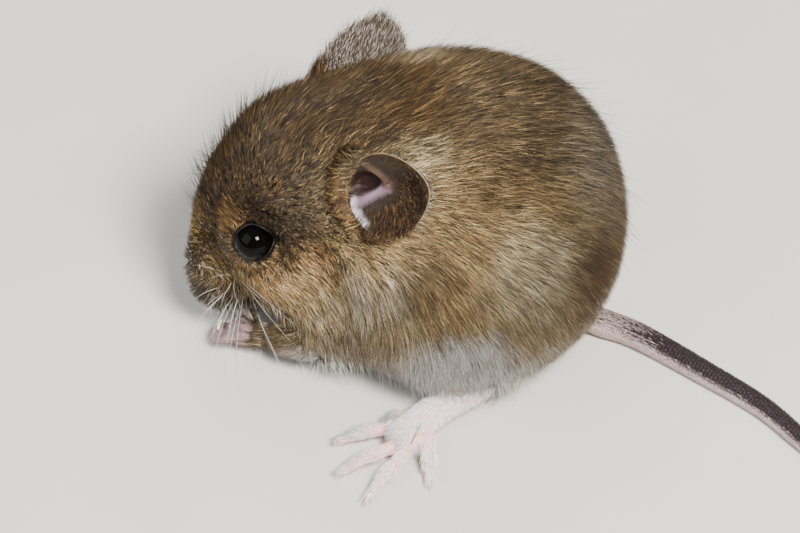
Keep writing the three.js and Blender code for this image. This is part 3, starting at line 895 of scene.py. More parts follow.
# the forepaw's tone holds painted shade from the head over its own pinkish grey
limbTone = mixed(paint(flesh["foot"])[None], paint(flesh["paw"])[None], onForepaw)
skinTone = mixed(skinTone, limbTone, rise(skinBare, 0, 0.4)[:, None])
soles = rise(skinNormals[:, 2], -0.2, -0.7) * skinBare
skinTone = mixed(skinTone, paint(flesh["pad"])[None], soles[:, None] * 0.8)
fromPad = np.linalg.norm((skinPoints - (22.6, 0, 7.3)) / (1.15, 1.35, 1.05), axis=1)
bareNose = rise(fromPad, 1.25, 1.0)
skinTone = mixed(skinTone, paint(flesh["nose"])[None], bareNose[:, None])
for side in (1, -1):
    # the nostrils are painted dark: painted shade inside the holes
    hole = onSide(nostril["place"], side) - (0.2, 0, 0)
    inside = near(skinPoints, hole, np.array(nostril["reach"]) * 1.25)
    skinTone = mixed(skinTone, paint(flesh["nostril"])[None], np.clip(inside * 1.6, 0, 1)[:, None])
    ring, away, _ = eyeAngles(skinPoints, side)
    lidShare = rise(ring, 1.2, 1.06) * (away < eyeShape["radius"] + 1.0)
    skinTone = mixed(skinTone, paint(flesh["lid"])[None], lidShare[:, None])


def earTone(masks):
    c, a, _, pocket, edge, ridge, lobe, rimPale, face = masks.T
    tone = np.tile(paint(flesh["earInside"]), (len(masks), 1))
    membrane = rise(c, -1.2, -2.8) * rise(a, 3.5, 5.5)
    # the ear's opening is painted near black-red: painted shade down the hole
    layers = (("earMembrane", membrane), ("earLobe", lobe), ("earRidge", ridge), ("earHoleShade", pocket),
              ("earEdge", edge), ("earBack", face < 0), ("earRim", rimPale * 0.8))
    for code, share in layers:
        tone = mixed(tone, paint(flesh[code])[None], np.clip(share, 0, 1)[:, None])
    return tone


tailTopFrom = mixed(0.62, 0.3, rise(tailData[:, 2], 0.04, 0.3))      # the dark upper side widens backwards
tailDark = rise(tailData[:, 3] - tailTopFrom, -0.3, 0.3)
tailTone = mixed(paint(flesh["tailUnder"])[None], paint(flesh["tailTop"])[None], tailDark[:, None])

print("skin: one piece from nose to tail tip")
skinParts = [(skinPoints, skinFaces), earLeft[:2], earRight[:2], tailShape]
allPoints, allFaces = joined(skinParts)
allTones = np.vstack([skinTone, earTone(earLeft[2]), earTone(earRight[2]), tailTone])
skinMesh = bpy.data.meshes.new("skin")
skinMesh.from_pydata(toMetres(allPoints).tolist(), [], allFaces)
skinMesh.shade_smooth()
tones = skinMesh.attributes.new("flesh", "FLOAT_COLOR", "POINT")
solid = np.hstack([allTones, np.ones((len(allTones), 1))])
tones.data.foreach_set("color", solid.astype(np.float32).ravel())
onTail = np.zeros(len(allPoints))
onTail[-len(tailData):] = 1
for name, values in (("tail", onTail), ("ringCount", tailData[:, 0]), ("aroundTail", tailData[:, 1])):
    full = np.zeros(len(allPoints))
    full[-len(values):] = values
    skinMesh.attributes.new(name, "FLOAT", "POINT").data.foreach_set("value", full.astype(np.float32))
skin = bpy.data.objects.new("skin", skinMesh)
bpy.context.scene.collection.objects.link(skin)
skinMesh.materials.append(skinMaterial)
bpy.context.view_layer.objects.active = skin
skin.select_set(True)
skinMesh.uv_layers.new(name="OFBake")
bpy.ops.object.mode_set(mode="EDIT")
bpy.ops.mesh.select_all(action="SELECT")
bpy.ops.uv.smart_project(angle_limit=math.radians(66), island_margin=0.002)
bpy.ops.object.mode_set(mode="OBJECT")
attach(skin, "root")
armNodes = ["foreleg_left", "foreleg_right", "forepaw_left", "forepaw_right"]
footNodes = ["hind_foot_left", "hind_foot_right"]
tailNodes = ["tail_base", "tail_middle", "tail_tip"]
fleshNodes = [*bodyNodes, *armNodes, *footNodes, *tailNodes, "nose", "ear_left", "ear_right"]
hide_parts(*fleshNodes)
print("skin:", len(allPoints), "points,", len(skinMesh.polygons), "faces")


# eyes: a clear round front on a black ball
for name, side in (("left", 1), ("right", -1)):
    centre = onSide(eyeShape["centre"], side)
    points, faces = ball((0, 0, 0), (1, 1, 1), 48, 32)
    looks = unit(onSide(eyeShape["looks"], side))
    dome = rise(points @ looks, 0.55, 1.0) * 0.03
    points = centre + points * (eyeShape["radius"] * (1 + dome))[:, None]
    eyeball = newPiece("eyeball_" + name, points, faces, eyeMaterial, "eye")
    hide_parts("eye_" + name)

claw = {
    "hind": {"length": 0.95, "radius": 0.26, "droop": 0.3},
    "fore": {"length": 0.8, "radius": 0.2, "droop": 0.2},
    "sunk": 0.35,
}


def clawShape(back, tip, size):
    ahead = unit(np.array(tip, float) - np.array(back, float))
    start = np.array(tip, float) - ahead * claw["sunk"] + (0, 0, 0.12)
    end = start + ahead * (size["length"] + claw["sunk"]) - (0, 0, size["droop"])
    end[2] = max(end[2], 0.12)
    bow = mixed(start, end, 0.5) + (0, 0, 0.12)
    radii = [size["radius"], size["radius"] * 0.75, size["radius"] * 0.22]
    return tube([start, bow, end], radii, 12, 16, 1.25)


for name, flip in (("left", lambda shape: shape), ("right", mirrored)):
    hindClaws = joined([flip(clawShape(root, tip, claw["hind"])) for root, tip in hindFoot["toes"]])
    foreClaws = joined([flip(clawShape(bend, tip, claw["fore"])) for _, bend, tip in foreleg["fingers"]])
    for kind, shape, count in (("hind", hindClaws, 5), ("fore", foreClaws, 4)):
        piece = newPiece(f"claws_{kind}_{name}", *shape, clawMaterial, "claw")
        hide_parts(*[f"{kind}_claw_{name}_{number + 1}" for number in range(count)])
print("eyes and claws")

# the coat: closed three-sided tufts, each a lock of hair that runs out to a point
fur = {
    # by distance from the nose along the head; the body counts as far away
    "length": ([1, 3, 6, 10, 14, 20, 28], [0.6, 1.25, 1.5, 1.65, 2.0, 2.8, 3.8]),
    "width": ([1, 4, 8, 14, 22, 30], [0.06, 0.07, 0.075, 0.085, 0.095, 0.105]),
    "perSquare": ([1, 4, 7, 9, 16, 24, 30], [70, 80, 100, 120, 105, 84, 74]),
    "lift": ([1, 5, 10, 16, 24, 30], [0.62, 0.62, 0.5, 0.42, 0.3, 0.3]),
    "neckReach": 25.0, "bodyReach": 32.0, "jawReach": 6.0, "forelegReach": 15.0,
    "forelegDepth": 0.55,
    "stray": 0.27,               # how far a hair strays from its neighbours' way
    "clump": 0.6,                # how far the tips of a lock draw together
    "lock": 22,                  # hairs in a lock
    "lockSpread": 0.28,          # how much one lock is lighter or darker than the next
    "laidFrom": 12,              # behind this reach the tips lie at a set height over the skin
    "pieceLimit": 190000,        # triangles in one piece of the coat
}
pale, buff = paint("d6ccb8"), paint("a88f63")


def tuftMesh(name, curves, sides, widths, tones, places, material, flat=0.6):
    # curves: each tuft's points from root to tip; tones: its colour and the darkness of its tip
    tufts, steps = curves.shape[:2]
    rings = steps - 1
    each = rings * 3 + 1
    tangents = unit(np.gradient(curves, axis=1))
    points = np.zeros((tufts, each, 3))
    for ring in range(rings):
        up = unit(np.cross(sides, tangents[:, ring]))
        for corner in range(3):
            angle = math.pi / 2 + corner * 2 * math.pi / 3
            offset = sides * math.cos(angle) + up * math.sin(angle) * flat
            points[:, ring * 3 + corner] = curves[:, ring] + offset * widths[:, ring, None] / 2
    points[:, -1] = curves[:, -1]
    points[:, :, 2] = np.maximum(points[:, :, 2], 0.04)
    quads, triangles = [], [(0, 2, 1)]
    for corner in range(3):
        after = (corner + 1) % 3
        for ring in range(rings - 1):
            quads.append((ring * 3 + corner, ring * 3 + after, ring * 3 + after + 3, ring * 3 + corner + 3))
        triangles.append(((rings - 1) * 3 + corner, (rings - 1) * 3 + after, each - 1))
    start = (np.arange(tufts) * each)[:, None, None]
    corners = [(start + np.array(shape)[None]).ravel() for shape in (quads, triangles) if shape]
    corners = np.concatenate(corners).astype(np.int32)
    sizes = np.concatenate([np.full(tufts * len(quads), 4), np.full(tufts * len(triangles), 3)])
    mesh = bpy.data.meshes.new(name)
    mesh.vertices.add(tufts * each)
    mesh.vertices.foreach_set("co", toMetres(points.reshape(-1, 3)).astype(np.float32).ravel())
    mesh.loops.add(len(corners))
    mesh.loops.foreach_set("vertex_index", corners)
    mesh.polygons.add(len(sizes))
    mesh.polygons.foreach_set("loop_start", (np.cumsum(sizes) - sizes).astype(np.int32))
    mesh.update(calc_edges=True)
    mesh.shade_smooth()
    share = np.append(np.repeat(np.linspace(0, 1, steps)[:-1], 3), 1.0)
    along = mesh.attributes.new("along", "FLOAT", "POINT")
    along.data.foreach_set("value", np.tile(share, tufts).astype(np.float32))
    hairTone = mesh.attributes.new("hairTone", "FLOAT_COLOR", "POINT")
    hairTone.data.foreach_set("color", np.repeat(tones, each, axis=0).astype(np.float32).ravel())
    # every tuft is a small patch on the unwrap, at the place of its root
    spot = np.stack([np.append(np.tile([-0.5, 0.0, 0.5], rings), 0.0), share - 0.5], axis=1) * 0.003
    unwrap = (np.repeat(places, each, axis=0) + np.tile(spot, (tufts, 1)))[corners]
    mesh.uv_layers.new(name="OFBake").data.foreach_set("uv", unwrap.astype(np.float32).ravel())
    piece = bpy.data.objects.new(name, mesh)
    bpy.context.scene.collection.objects.link(piece)
    mesh.materials.append(material)
    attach(piece, "root")


def tuftPieces(name, curves, sides, widths, tones, places, material, slot):
    # one set of tufts as pieces that stay under the limit, sorted from the nose backwards
    triangles = 4 + 6 * (curves.shape[1] - 2)
    order = np.argsort(np.linalg.norm(curves[:, 0] - noseTip, axis=1), kind="stable")
    count = math.ceil(len(order) * triangles / fur["pieceLimit"])
    for number, part in enumerate(np.array_split(order, count)):
        tuftMesh(f"{name}_{number + 1}", curves[part], sides[part], widths[part], tones[part], places[part],
                 material)
    print("coat:", name, len(order), "tufts in", count, "pieces,", len(order) * triangles, "triangles")


print("coat: where the hairs grow")
draftTree = treeOf(core[0])
draftLabel = nodeUnder(draftPoints)
draftReach = np.linalg.norm(draftPoints - noseTip, axis=1)
onTrunk = isNode(draftLabel, "trunk", "thigh_left", "thigh_right")
onNeck, onJaw = isNode(draftLabel, "neck"), isNode(draftLabel, "jaw")
draftReach = np.where(onTrunk, fur["bodyReach"], draftReach)
draftReach = np.where(onNeck, np.maximum(draftReach, fur["neckReach"]), draftReach)
draftReach = np.where(onJaw, fur["jawReach"], draftReach)
draftReach = averaged(draftReach, draftEdges, 60)
closest = np.array([draftTree.find(point)[1] for point in skinPoints])
skinReach = draftReach[closest]
skinDepth = draftDepth[closest] - bodyShape["closeGaps"]
armLine = smoothRoute(foreleg["route"], 14)[0]
armWays = np.gradient(armLine, axis=0)
armTree = treeOf(armLine)
armFound = [armTree.find(point) for point in inFold(skinPoints)]
onArm = rise([gap for _, _, gap in armFound], 3.2, 2.0) * rise([index for _, index, _ in armFound], 3, 6)
skinReach = mixed(skinReach, fur["forelegReach"], onArm)
skinDepth = mixed(skinDepth, fur["forelegDepth"], onArm)


def readOut(items, key, kind, each=1):
    values = np.zeros(len(items) * each, kind)
    items.foreach_get(key, values)
    return values.reshape(-1, each) if each > 1 else values


wholeNormals = readOut(skinMesh.vertices, "normal", float, 3)
skinUv = readOut(skinMesh.uv_layers["OFBake"].data, "uv", float, 2)
faceStart = readOut(skinMesh.polygons, "loop_start", int)
faceSize = readOut(skinMesh.polygons, "loop_total", int)
cornerLoops = np.stack([faceStart + np.minimum(corner, faceSize - 1) for corner in range(4)], axis=1)
wholeQuads = readOut(skinMesh.loops, "vertex_index", int)[cornerLoops]
faceUv = skinUv[cornerLoops]
bodyFaces = np.arange(len(skinFaces))


def scatter(faces, perSquare):
    # random places on some faces of the skin, each with its face, shares of the corners, normal and uv
    quads = wholeQuads[faces]
    corners = allPoints[quads]
    across = np.cross(corners[:, 2] - corners[:, 0], corners[:, 3] - corners[:, 1])
    expected = np.linalg.norm(across, axis=1) / 2 * perSquare * thin
    count = np.floor(expected + draws.random(len(expected))).astype(int)
    face = np.repeat(np.arange(len(quads)), count)
    u, v = draws.random(len(face)), draws.random(len(face))
    shares = np.stack([(1 - u) * (1 - v), u * (1 - v), u * v, (1 - u) * v], axis=1)
    places = np.einsum("nk,nkd->nd", shares, corners[face])
    normals = unit(np.einsum("nk,nkd->nd", shares, wholeNormals[quads[face]]))
    uv = np.einsum("nk,nkd->nd", shares, faceUv[faces][face])
    return face, shares, places, normals, uv


def flattened(vectors, normals):
    return unit(vectors - normals * np.sum(vectors * normals, axis=1, keepdims=True))


lie = {
    "headFrom": (6, 0, 16.5),            # where the head's lie of the hair goes over into the body's
    "headWay": (0.909, 0, 0.418),
    # how steeply the body's hair runs down: height, degrees
    "downwards": ([4, 10, 16, 22, 28], [88, 74, 50, 26, 4]),
    "outwards": 0.12,
    "whiskerPad": (18.6, 3.4, 9.8),
    "padFan": (0.25, 0, -0.45),
}


def hairWay(places, normals):
    # the lie of the coat: back from the nose over the head, then back and down over the body
    x, y, z = places.T
    side = np.sign(y)
    ahead = (places - lie["headFrom"]) @ np.array(lie["headWay"])
    overHead = unit(places - noseTip)
    overHead[:, 2] -= 0.75 * rise(z, 19, 8)
    down = np.radians(np.interp(z, *lie["downwards"]))
    overBody = np.stack([-np.cos(down), lie["outwards"] * side, -np.sin(down)], axis=1)
    way = mixed(overBody, unit(overHead), rise(ahead, -5, 4)[:, None])
    # the hair of the whisker pads fans out forwards and down
    pad = np.tile(lie["whiskerPad"], (len(x), 1))
    pad[:, 1] *= side
    fan = unit(places - pad) * (1, 0.6, 1) + lie["padFan"]
    onPad = rise(np.linalg.norm(places - pad, axis=1), 6.5, 4.5) * rise(z, 10.5, 8.8) * rise(x, 16, 17.5)
    way = mixed(way, fan, onPad[:, None])
    # the hair of the forearm runs towards the paw
    low = np.flatnonzero((z < 9) & (x > 6) & (x < 18))
    found = [armTree.find(place) for place in inFold(places[low])]
    steps = [index for _, index, _ in found]
    forearm = armWays[steps]
    forearm[:, 1] *= side[low]
    onForearm = rise([gap for _, _, gap in found], 3.4, 2.4) * rise(steps, 3, 6)
    way[low] = mixed(unit(way[low]), unit(forearm), onForearm[:, None])
    for flip in (1, -1):
        _, away, out = eyeAngles(places, flip)
        way = way + out * (rise(away, 5.0, 2.8) * 2.2)[:, None]
    return flattened(way, normals)


def clearOfEyes(*pointSets):
    keep = True
    for points in pointSets:
        for side in (1, -1):
            ring, away, _ = eyeAngles(points, side)
            keep = keep & ~((ring < 0.72) & (away < 4.5)) & ~((ring < 0.98) & (away < 2.8))
    return keep


def clearOfEars(points, roots):
    # hairs in front of an ear may lap over its front edge, the others keep out of its cup
    keep = np.ones(len(points), bool)
    for name in ("left", "right"):
        root, along, front, across = earFrame(name)
        out = points - root
        c, a, d = out @ across, out @ along, out @ front
        halfWidth, halfLength = ear["width"] / 2, ear["length"] / 2
        radius = np.hypot(c / halfWidth, (a + ear["sunk"] - halfLength) / halfLength)
        limit = np.where(roots[:, 0] > root[0] + 1.2, 0.78, 1.0)
        floor = ear["cup"] * (radius ** 2 - 1) - 0.5 - 5.5 * earMasks(c, a)[0]
        keep &= ~((radius < limit) & (d > floor) & (d < 2.6))
    return keep


skinSurface = BVHTree.FromPolygons(skinPoints.tolist(), skinFaces)
coatShapes = [nodeShape(name, 0) for name in bodyNodes + armNodes]
coatSurface = BVHTree.FromPolygons(*[list(part) for part in joined(coatShapes)])


def laidTips(tips, heights):
    # each tip set at its own height over the nearest skin
    laid = np.array(tips)
    for index, tip in enumerate(tips):
        place, normal, _, _ = skinSurface.find_nearest(tip)
        laid[index] = np.array(place) + np.array(normal) * heights[index]
    return laid


def heldIn(tips, allowed):
    # no tip stands further out of the coat's own outline than allowed
    held = np.array(tips)
    for index, tip in enumerate(tips):
        place, normal, _, _ = coatSurface.find_nearest(tip)
        out = (Vector(tip) - place).dot(normal)
        if out > allowed[index]:
            held[index] = np.array(place) + np.array(normal) * allowed[index]
    return held


def locksOf(roots):
    # the number of the lock that each hair belongs to, and the hair that leads it
    leads = np.arange(0, len(roots), fur["lock"])
    tree = treeOf(roots[leads])
    lock = np.array([tree.find(root)[1] for root in roots])
    return lock, leads[lock]


def hairTones(places, darkMore=0.0, paleMore=0.0, spread=0.55, lockLight=0.0):
    tone, dark, paleShare = coatTones(places + draws.normal(0, 0.55, places.shape))
    chance = draws.random(len(places))
    light = np.exp(draws.normal(0, spread, len(places)) + 0.14 * wander(places, 2.2, 11) + lockLight)
    warmth = draws.normal(0, 0.06, (len(places), 1)) * (1, 0, -1)
    tone = tone * light[:, None] * (1 + warmth)
    isDark = chance < dark + darkMore
    isPale = chance > 1 - paleShare - paleMore
    tone = np.where(isDark[:, None], tone * 0.14, tone)
    paleTone = mixed(pale[None], buff[None], rise(places[:, 2], 14, 20)[:, None])
    bleached = mixed(tone, paleTone * light[:, None], draws.uniform(0.25, 0.75, len(places))[:, None])
    tone = np.where(isPale[:, None], bleached, tone)
    tip = draws.uniform(0.3, 1.0, len(places)) * (draws.random(len(places)) < 0.6)
    tip = np.where(isDark, 1.0, np.where(isPale, 0.0, tip)) * rise(places[:, 2], 3, 9)
    return np.column_stack([np.clip(tone, 0, 1), tip])


reachOfFace = skinReach[skinQuads].mean(axis=1)
bareOfFace = np.clip(skinBare + bareNose, 0, 1)[skinQuads].mean(axis=1)
faceUp = skinNormals[skinQuads].mean(axis=1)[:, 2]
facesDown = rise(faceUp, -0.55, -0.85)
perSquare = np.interp(reachOfFace, *fur["perSquare"]) * (1 - rise(bareOfFace, 0.3, 0.6))
perSquare = perSquare * mixed(1, 0.35, facesDown)
faceMiddles = skinPoints[skinQuads].mean(axis=1)
for side in (1, -1):
    ring, away, _ = eyeAngles(faceMiddles, side)
    perSquare = perSquare * ~((ring < 1.04) & (away < 2.7)) * (1 + 0.8 * rise(away, 4.5, 3))
face, shares, roots, normals, rootUv = scatter(bodyFaces, perSquare)


def spread(values):
    return np.einsum("nk,nk->n", shares, values[skinQuads[face]])


reach, depth = spread(skinReach), spread(skinDepth)
length = np.interp(reach, *fur["length"]) * draws.uniform(0.75, 1.15, len(roots))
width = np.interp(reach, *fur["width"]) * draws.uniform(0.7, 1.3, len(roots)) / math.sqrt(thin)
lowThigh = near(inFold(roots), (-6.5, 13.0, 3), (9, 7, 7)) ** 0.5
length = length * mixed(1, 0.6, lowThigh)
for side in (1, -1):
    ring, away, _ = eyeAngles(roots, side)
    length = length * mixed(0.45, 1.0, rise(away, 2.3, 5.0))
way = hairWay(roots, normals)
stray = draws.normal(0, fur["stray"], len(roots)) + 0.14 * wander(roots, 5, 21) + 0.1 * wander(roots, 2, 22)
way = unit(way + np.cross(normals, way) * stray[:, None])
lift = np.interp(reach, *fur["lift"]) * draws.uniform(0.7, 1.3, len(roots))
tips = roots + unit(way + normals * lift[:, None]) * length[:, None]
lock, leader = locksOf(roots)
tips = tips + (tips[leader] - tips) * (fur["clump"] * draws.random(len(tips)))[:, None]
height = depth * mixed(0.6, 1.14, draws.random(len(roots)) ** 0.6) * mixed(1, 0.4, lowThigh)
long = np.flatnonzero(reach > fur["laidFrom"])
tips[long] = laidTips(tips[long], height[long])
standing = 0.05 + draws.exponential(0.3, len(roots)) * rise(roots[:, 2], 4, 10) - 1.5 * lowThigh
tips = heldIn(tips, standing)
tones = hairTones(roots, lockLight=draws.normal(0, fur["lockSpread"], len(roots))[lock])
sides = unit(np.cross(way, normals))
middles = (roots + tips) / 2
keep = clearOfEars(tips, roots) & clearOfEars(middles, roots) & clearOfEyes(tips, middles)
curves = np.stack([roots - normals * 0.12, tips], axis=1)
for name, sameSide in (("left", roots[:, 1] >= 0), ("right", roots[:, 1] < 0)):
    part = np.flatnonzero(keep & sameSide)
    tuftPieces("coat_" + name, curves[part], sides[part], width[part, None], tones[part], rootUv[part],
               hairMaterial, "brown_coat")


def extraSet(name, faces, perSquare, setting, slot, toward, tone, material=hairMaterial):
    # a set of longer or shorter hairs on some faces of the skin
    _, _, places, normals, uv = scatter(faces, perSquare)
    count = len(places)
    way = toward(places, normals)
    way = unit(way + np.cross(normals, way) * draws.normal(0, setting["stray"], count)[:, None])
    length = draws.uniform(*setting["length"], count)
    lift = draws.uniform(*setting["lift"], count)
    bow = draws.uniform(*setting["bow"], count)
    tips = places + (way + normals * lift[:, None]) * length[:, None]
    middles = places + (way * 0.5 + normals * (lift * 0.5 + bow)[:, None]) * length[:, None]
    if setting["fall"]:
        tips[:, 2] -= setting["fall"] * length
    curves = np.stack([places - normals * 0.1, middles, tips], axis=1)
    if not setting["bend"]:
        curves = curves[:, [0, 2]]
    narrowing = np.array([1.0, 0.85])[None, :curves.shape[1] - 1]
    widths = draws.uniform(*setting["width"], count)[:, None] * narrowing
    keep = clearOfEyes(tips, middles, (places + middles) / 2)
    if not setting["overEars"]:
        keep = keep & clearOfEars(tips, places) & clearOfEars(middles, places)
    part = np.flatnonzero(keep)
    tuftPieces(name, curves[part], unit(np.cross(way, normals))[part], widths[part] / math.sqrt(thin),
               tone(places)[part], uv[part], material, slot)


def plainTones(code, spread, tip):
    def tone(places):
        light = np.exp(draws.normal(0, spread, len(places)))
        tones = np.clip(paint(code)[None] * light[:, None], 0, 1)
        return np.column_stack([tones, np.full(len(places), tip)])
    return tone


# long dark guard hairs that stand out over the back and the crown
guard = {
    "length": (3.4, 6.4), "lift": (0.3, 0.62), "bow": (0.0, 0.06), "width": (0.045, 0.07),
    "stray": 0.16, "fall": 0, "bend": True, "overEars": False,
}
perSquare = 1.0 * rise(faceMiddles[:, 2], 15, 23) * rise(reachOfFace, 15, 22)
extraSet("guard_back", bodyFaces, perSquare, guard, "brown_coat", hairWay, plainTones("1c1611", 0.3, 1.0))
crown = {**guard, "length": (2.6, 4.2), "lift": (0.5, 0.95)}
perSquare = 5.0 * rise(reachOfFace, 6, 11) * rise(reachOfFace, 24, 18) * rise(faceMiddles[:, 2], 13, 18)
extraSet("guard_crown", bodyFaces, perSquare, crown, "brown_coat", hairWay, plainTones("2a2018", 0.3, 1.0))

# the pale fringe that hangs under the belly, chest and cheeks
fringe = {
    "length": (2.5, 5.0), "lift": (0.1, 0.4), "bow": (0.02, 0.1), "width": (0.06, 0.1),
    "stray": 0.2, "fall": 0.35, "bend": True, "overEars": False,
}


def hanging(places, normals):
    return flattened(np.tile((-0.25, 0.0, -1.0), (len(places), 1)), normals)


bottomEdge = rise(faceUp, 0.15, -0.25) * rise(faceMiddles[:, 2], 8.5, 6.5)
perSquare = 9.0 * bottomEdge * (1 - rise(bareOfFace, 0.1, 0.3)) * rise(reachOfFace, 14, 20)
extraSet("fringe", bodyFaces, perSquare, fringe, "brown_coat", hanging, plainTones("dcd8d2", 0.2, 0.0))
cheek = {**fringe, "length": (2.0, 3.6), "lift": (0.15, 0.5), "fall": 0.3, "width": (0.06, 0.095)}
perSquare = 22.0 * near(inFold(faceMiddles), (14.6, 5.4, 8.2), (4.4, 3.2, 2.8)) ** 0.5
extraSet("fringe_cheek", bodyFaces, perSquare, cheek, "brown_coat", hanging,
         lambda places: hairTones(places, 0, 0.1))
chin = {**fringe, "length": (1.4, 2.4), "lift": (0.2, 0.6), "fall": 0.3, "width": (0.05, 0.08)}
perSquare = 16.0 * near(inFold(faceMiddles), (18.4, 1.8, 5.4), (3.6, 3.0, 2.2)) ** 0.5
extraSet("fringe_chin", bodyFaces, perSquare, chin, "pale_coat", hanging, plainTones("d8d4ce", 0.22, 0.0))

# short white hair on the feet and paws, lying towards the toes; the paws' hair is painted grey with shade
bareFaces = np.flatnonzero(skinBare[skinQuads].mean(axis=1) > 0.25)
footHair = {
    "length": (0.9, 1.7), "lift": (0.08, 0.26), "bow": (0, 0), "width": (0.08, 0.12),
    "stray": 0.2, "fall": 0, "bend": False, "overEars": False,
}
limbLines = limbRoutes(20, 12, 12, 10)
limbWays = np.vstack([np.gradient(line, axis=0) for line in limbLines])
limbTree = treeOf(np.vstack(limbLines))


def alongLimb(places, normals):
    found = [limbTree.find(place)[1] for place in inFold(places)]
    way = limbWays[found]
    way[:, 1] *= np.sign(places[:, 1])
    return flattened(way, normals)


normalUp = rise(faceUp[bareFaces], -0.45, 0.1)
onPaw = faceMiddles[bareFaces][:, 0] > 10
fromHeel = inFold(faceMiddles[bareFaces]) - hindFoot["sole"][0]
onToes = rise(np.linalg.norm(fromHeel, axis=1), 12, 14)
perSquare = 60 * normalUp * (1 - onPaw) * mixed(1, 0.6, onToes)
extraSet("foot_hair", bareFaces, perSquare, footHair, "foot_skin", alongLimb,
         plainTones("fffdfd", 0.1, 0.0), paleHairMaterial)
pawHair = {**footHair, "length": (0.5, 0.9), "width": (0.05, 0.08)}
# the paw's hairs are painted grey: painted shade over their own white
perSquare = 34 * normalUp * onPaw
extraSet("shaded_paw_hair", bareFaces, perSquare, pawHair, "foot_skin", alongLimb,
         plainTones("a2989a", 0.2, 0.0), paleHairMaterial)

# hair of the head that laps over the front edge of each ear
lap = {
    "count": 3600,
    "turns": (-80, 28),          # where the hairs start, in degrees round the rim from its root
    "back": (1.0, 4.2),          # how far behind the rim
    "over": (-0.9, 1.0),         # how far past the rim they reach
    "rise": (0.0, 0.6),
    "sweep": (-12, 14),          # how the hairs turn on their way to the rim, mean and scatter
    "longest": 5.6, "sunk": 0.8, "width": 0.08,
}


def onRim(name, turn):
    # places on the ear's rim, and their share across and along it
    root, along, _, across = earFrame(name)
    c, a = earDisc(np.sin(turn), -np.cos(turn))
    return root + c[:, None] * across + a[:, None] * along, c, a


def lapOverEar(name):
    _, along, front, across = earFrame(name)
    count = int(lap["count"] * thin)
    turn = np.radians(draws.uniform(*lap["turns"], count))
    rim, c, a = onRim(name, turn)
    outward = unit(c[:, None] * across + (a - ear["length"] / 2 + ear["sunk"])[:, None] * along)
    behindRim = mixed(*lap["back"], draws.random((count, 1)) ** 1.5)
    starts = rim + outward * behindRim
    found = [skinSurface.find_nearest(start) for start in starts]
    starts = np.array([place for place, _, _, _ in found])
    normals = np.array([normal for _, normal, _, _ in found])
    uv = faceUv[[index for _, _, index, _ in found]].mean(axis=1)
    rim, _, _ = onRim(name, turn + np.radians(draws.normal(*lap["sweep"], count)))
    tips = rim - outward * draws.uniform(*lap["over"], (count, 1))
    tips = tips + front * draws.uniform(*lap["rise"], (count, 1))
    middles = (starts + tips) / 2 + (front + normals) * 0.3
    curves = np.stack([starts - normals * lap["sunk"], middles, tips], axis=1)
    widths = lap["width"] / math.sqrt(thin) * np.tile((1, 0.85), (count, 1))
    sides = unit(np.cross(tips - starts, front))
    part = np.flatnonzero(np.linalg.norm(tips - starts, axis=1) < lap["longest"])
    # the warm roots here are painted light over the shade along the ear's front edge
    tones = hairTones(starts, -0.06, 0.05)
    tuftPieces(f"ear_{name}_front", curves[part], sides[part], widths[part], tones[part], uv[part],
               warmLitHairMaterial, "brown_coat")


# hair inside and on the back of the ears
earStart = len(skinPoints)
earHair = {
    "length": (0.9, 1.9), "lift": (0.12, 0.35), "bow": (0, 0), "width": (0.05, 0.08),
    "stray": 0.25, "fall": 0, "bend": False, "overEars": True,
}
tipped = {**earHair, "lift": (0.25, 0.5)}
onBack = {**earHair, "length": (0.8, 1.5)}
for name, masks in (("left", earLeft[2]), ("right", earRight[2])):
    earPoints = len(masks)
    inEar = np.all((wholeQuads >= earStart) & (wholeQuads < earStart + earPoints), axis=1)
    faces = np.flatnonzero(inEar)
    faceMasks = masks[wholeQuads[faces] - earStart].mean(axis=1)
    c, a, spreadOut, pocket, edge, ridge, lobe, rimPale, side = faceMasks.T
    root, along, _, across = earFrame(name)

    def outwards(places, normals):
        fromHole = places - (root + across * -1.2 + along * 2.2)
        return flattened(fromHole, normals)

    def upwards(places, normals):
        return flattened(np.tile(along, (len(places), 1)), normals)

    hairy = rise(c, -1.9, -0.6) * (1 - lobe) * (1 - ridge) * (1 - edge) * (1 - rimPale)
    hairy = hairy * rise(a, 7.8, 6) + 0.35 * rise(a, 3, 5)
    inside = hairy * (side > 0) * (1 - pocket)
    behind = (side < 0) * (rise(spreadOut, 0.86, 0.72) if name == "left" else 1)
    for part, perSquare, setting, toward, tone in (
            ("inside", 36 * inside, earHair, outwards, plainTones("2c1c11", 0.35, 0.3)),
            ("tipped", 14 * inside, tipped, outwards, plainTones("6c5032", 0.35, 0.0)),
            ("back", 46 * behind, onBack, upwards, plainTones("3f362e", 0.4, 0.6)),
            ("pale", 20 * behind, onBack, upwards, plainTones("aaa398", 0.3, 0.0))):
        extraSet(f"ear_{name}_{part}", faces, perSquare, setting, "ear_skin", toward, tone)
    lapOverEar(name)
    earStart += earPoints

# fine hair between the rings of the tail, white below and at its base
onTailOnly = np.all(wholeQuads >= len(allPoints) - len(tailData), axis=1)
tailFaces = np.flatnonzero(onTailOnly & (faceSize == 4))
tailHair = {
    "length": (0.45, 0.9), "lift": (0.1, 0.3), "bow": (0, 0), "width": (0.035, 0.055),
    "stray": 0.12, "fall": 0, "bend": False, "overEars": True,
}
tailWays = np.gradient(tailLine, axis=0)
tailTree = treeOf(tailLine)
tailMiddles = allPoints[wholeQuads[tailFaces]].mean(axis=1)


def alongTail(places, normals):
    return flattened(tailWays[[tailTree.find(place)[1] for place in places]], normals)


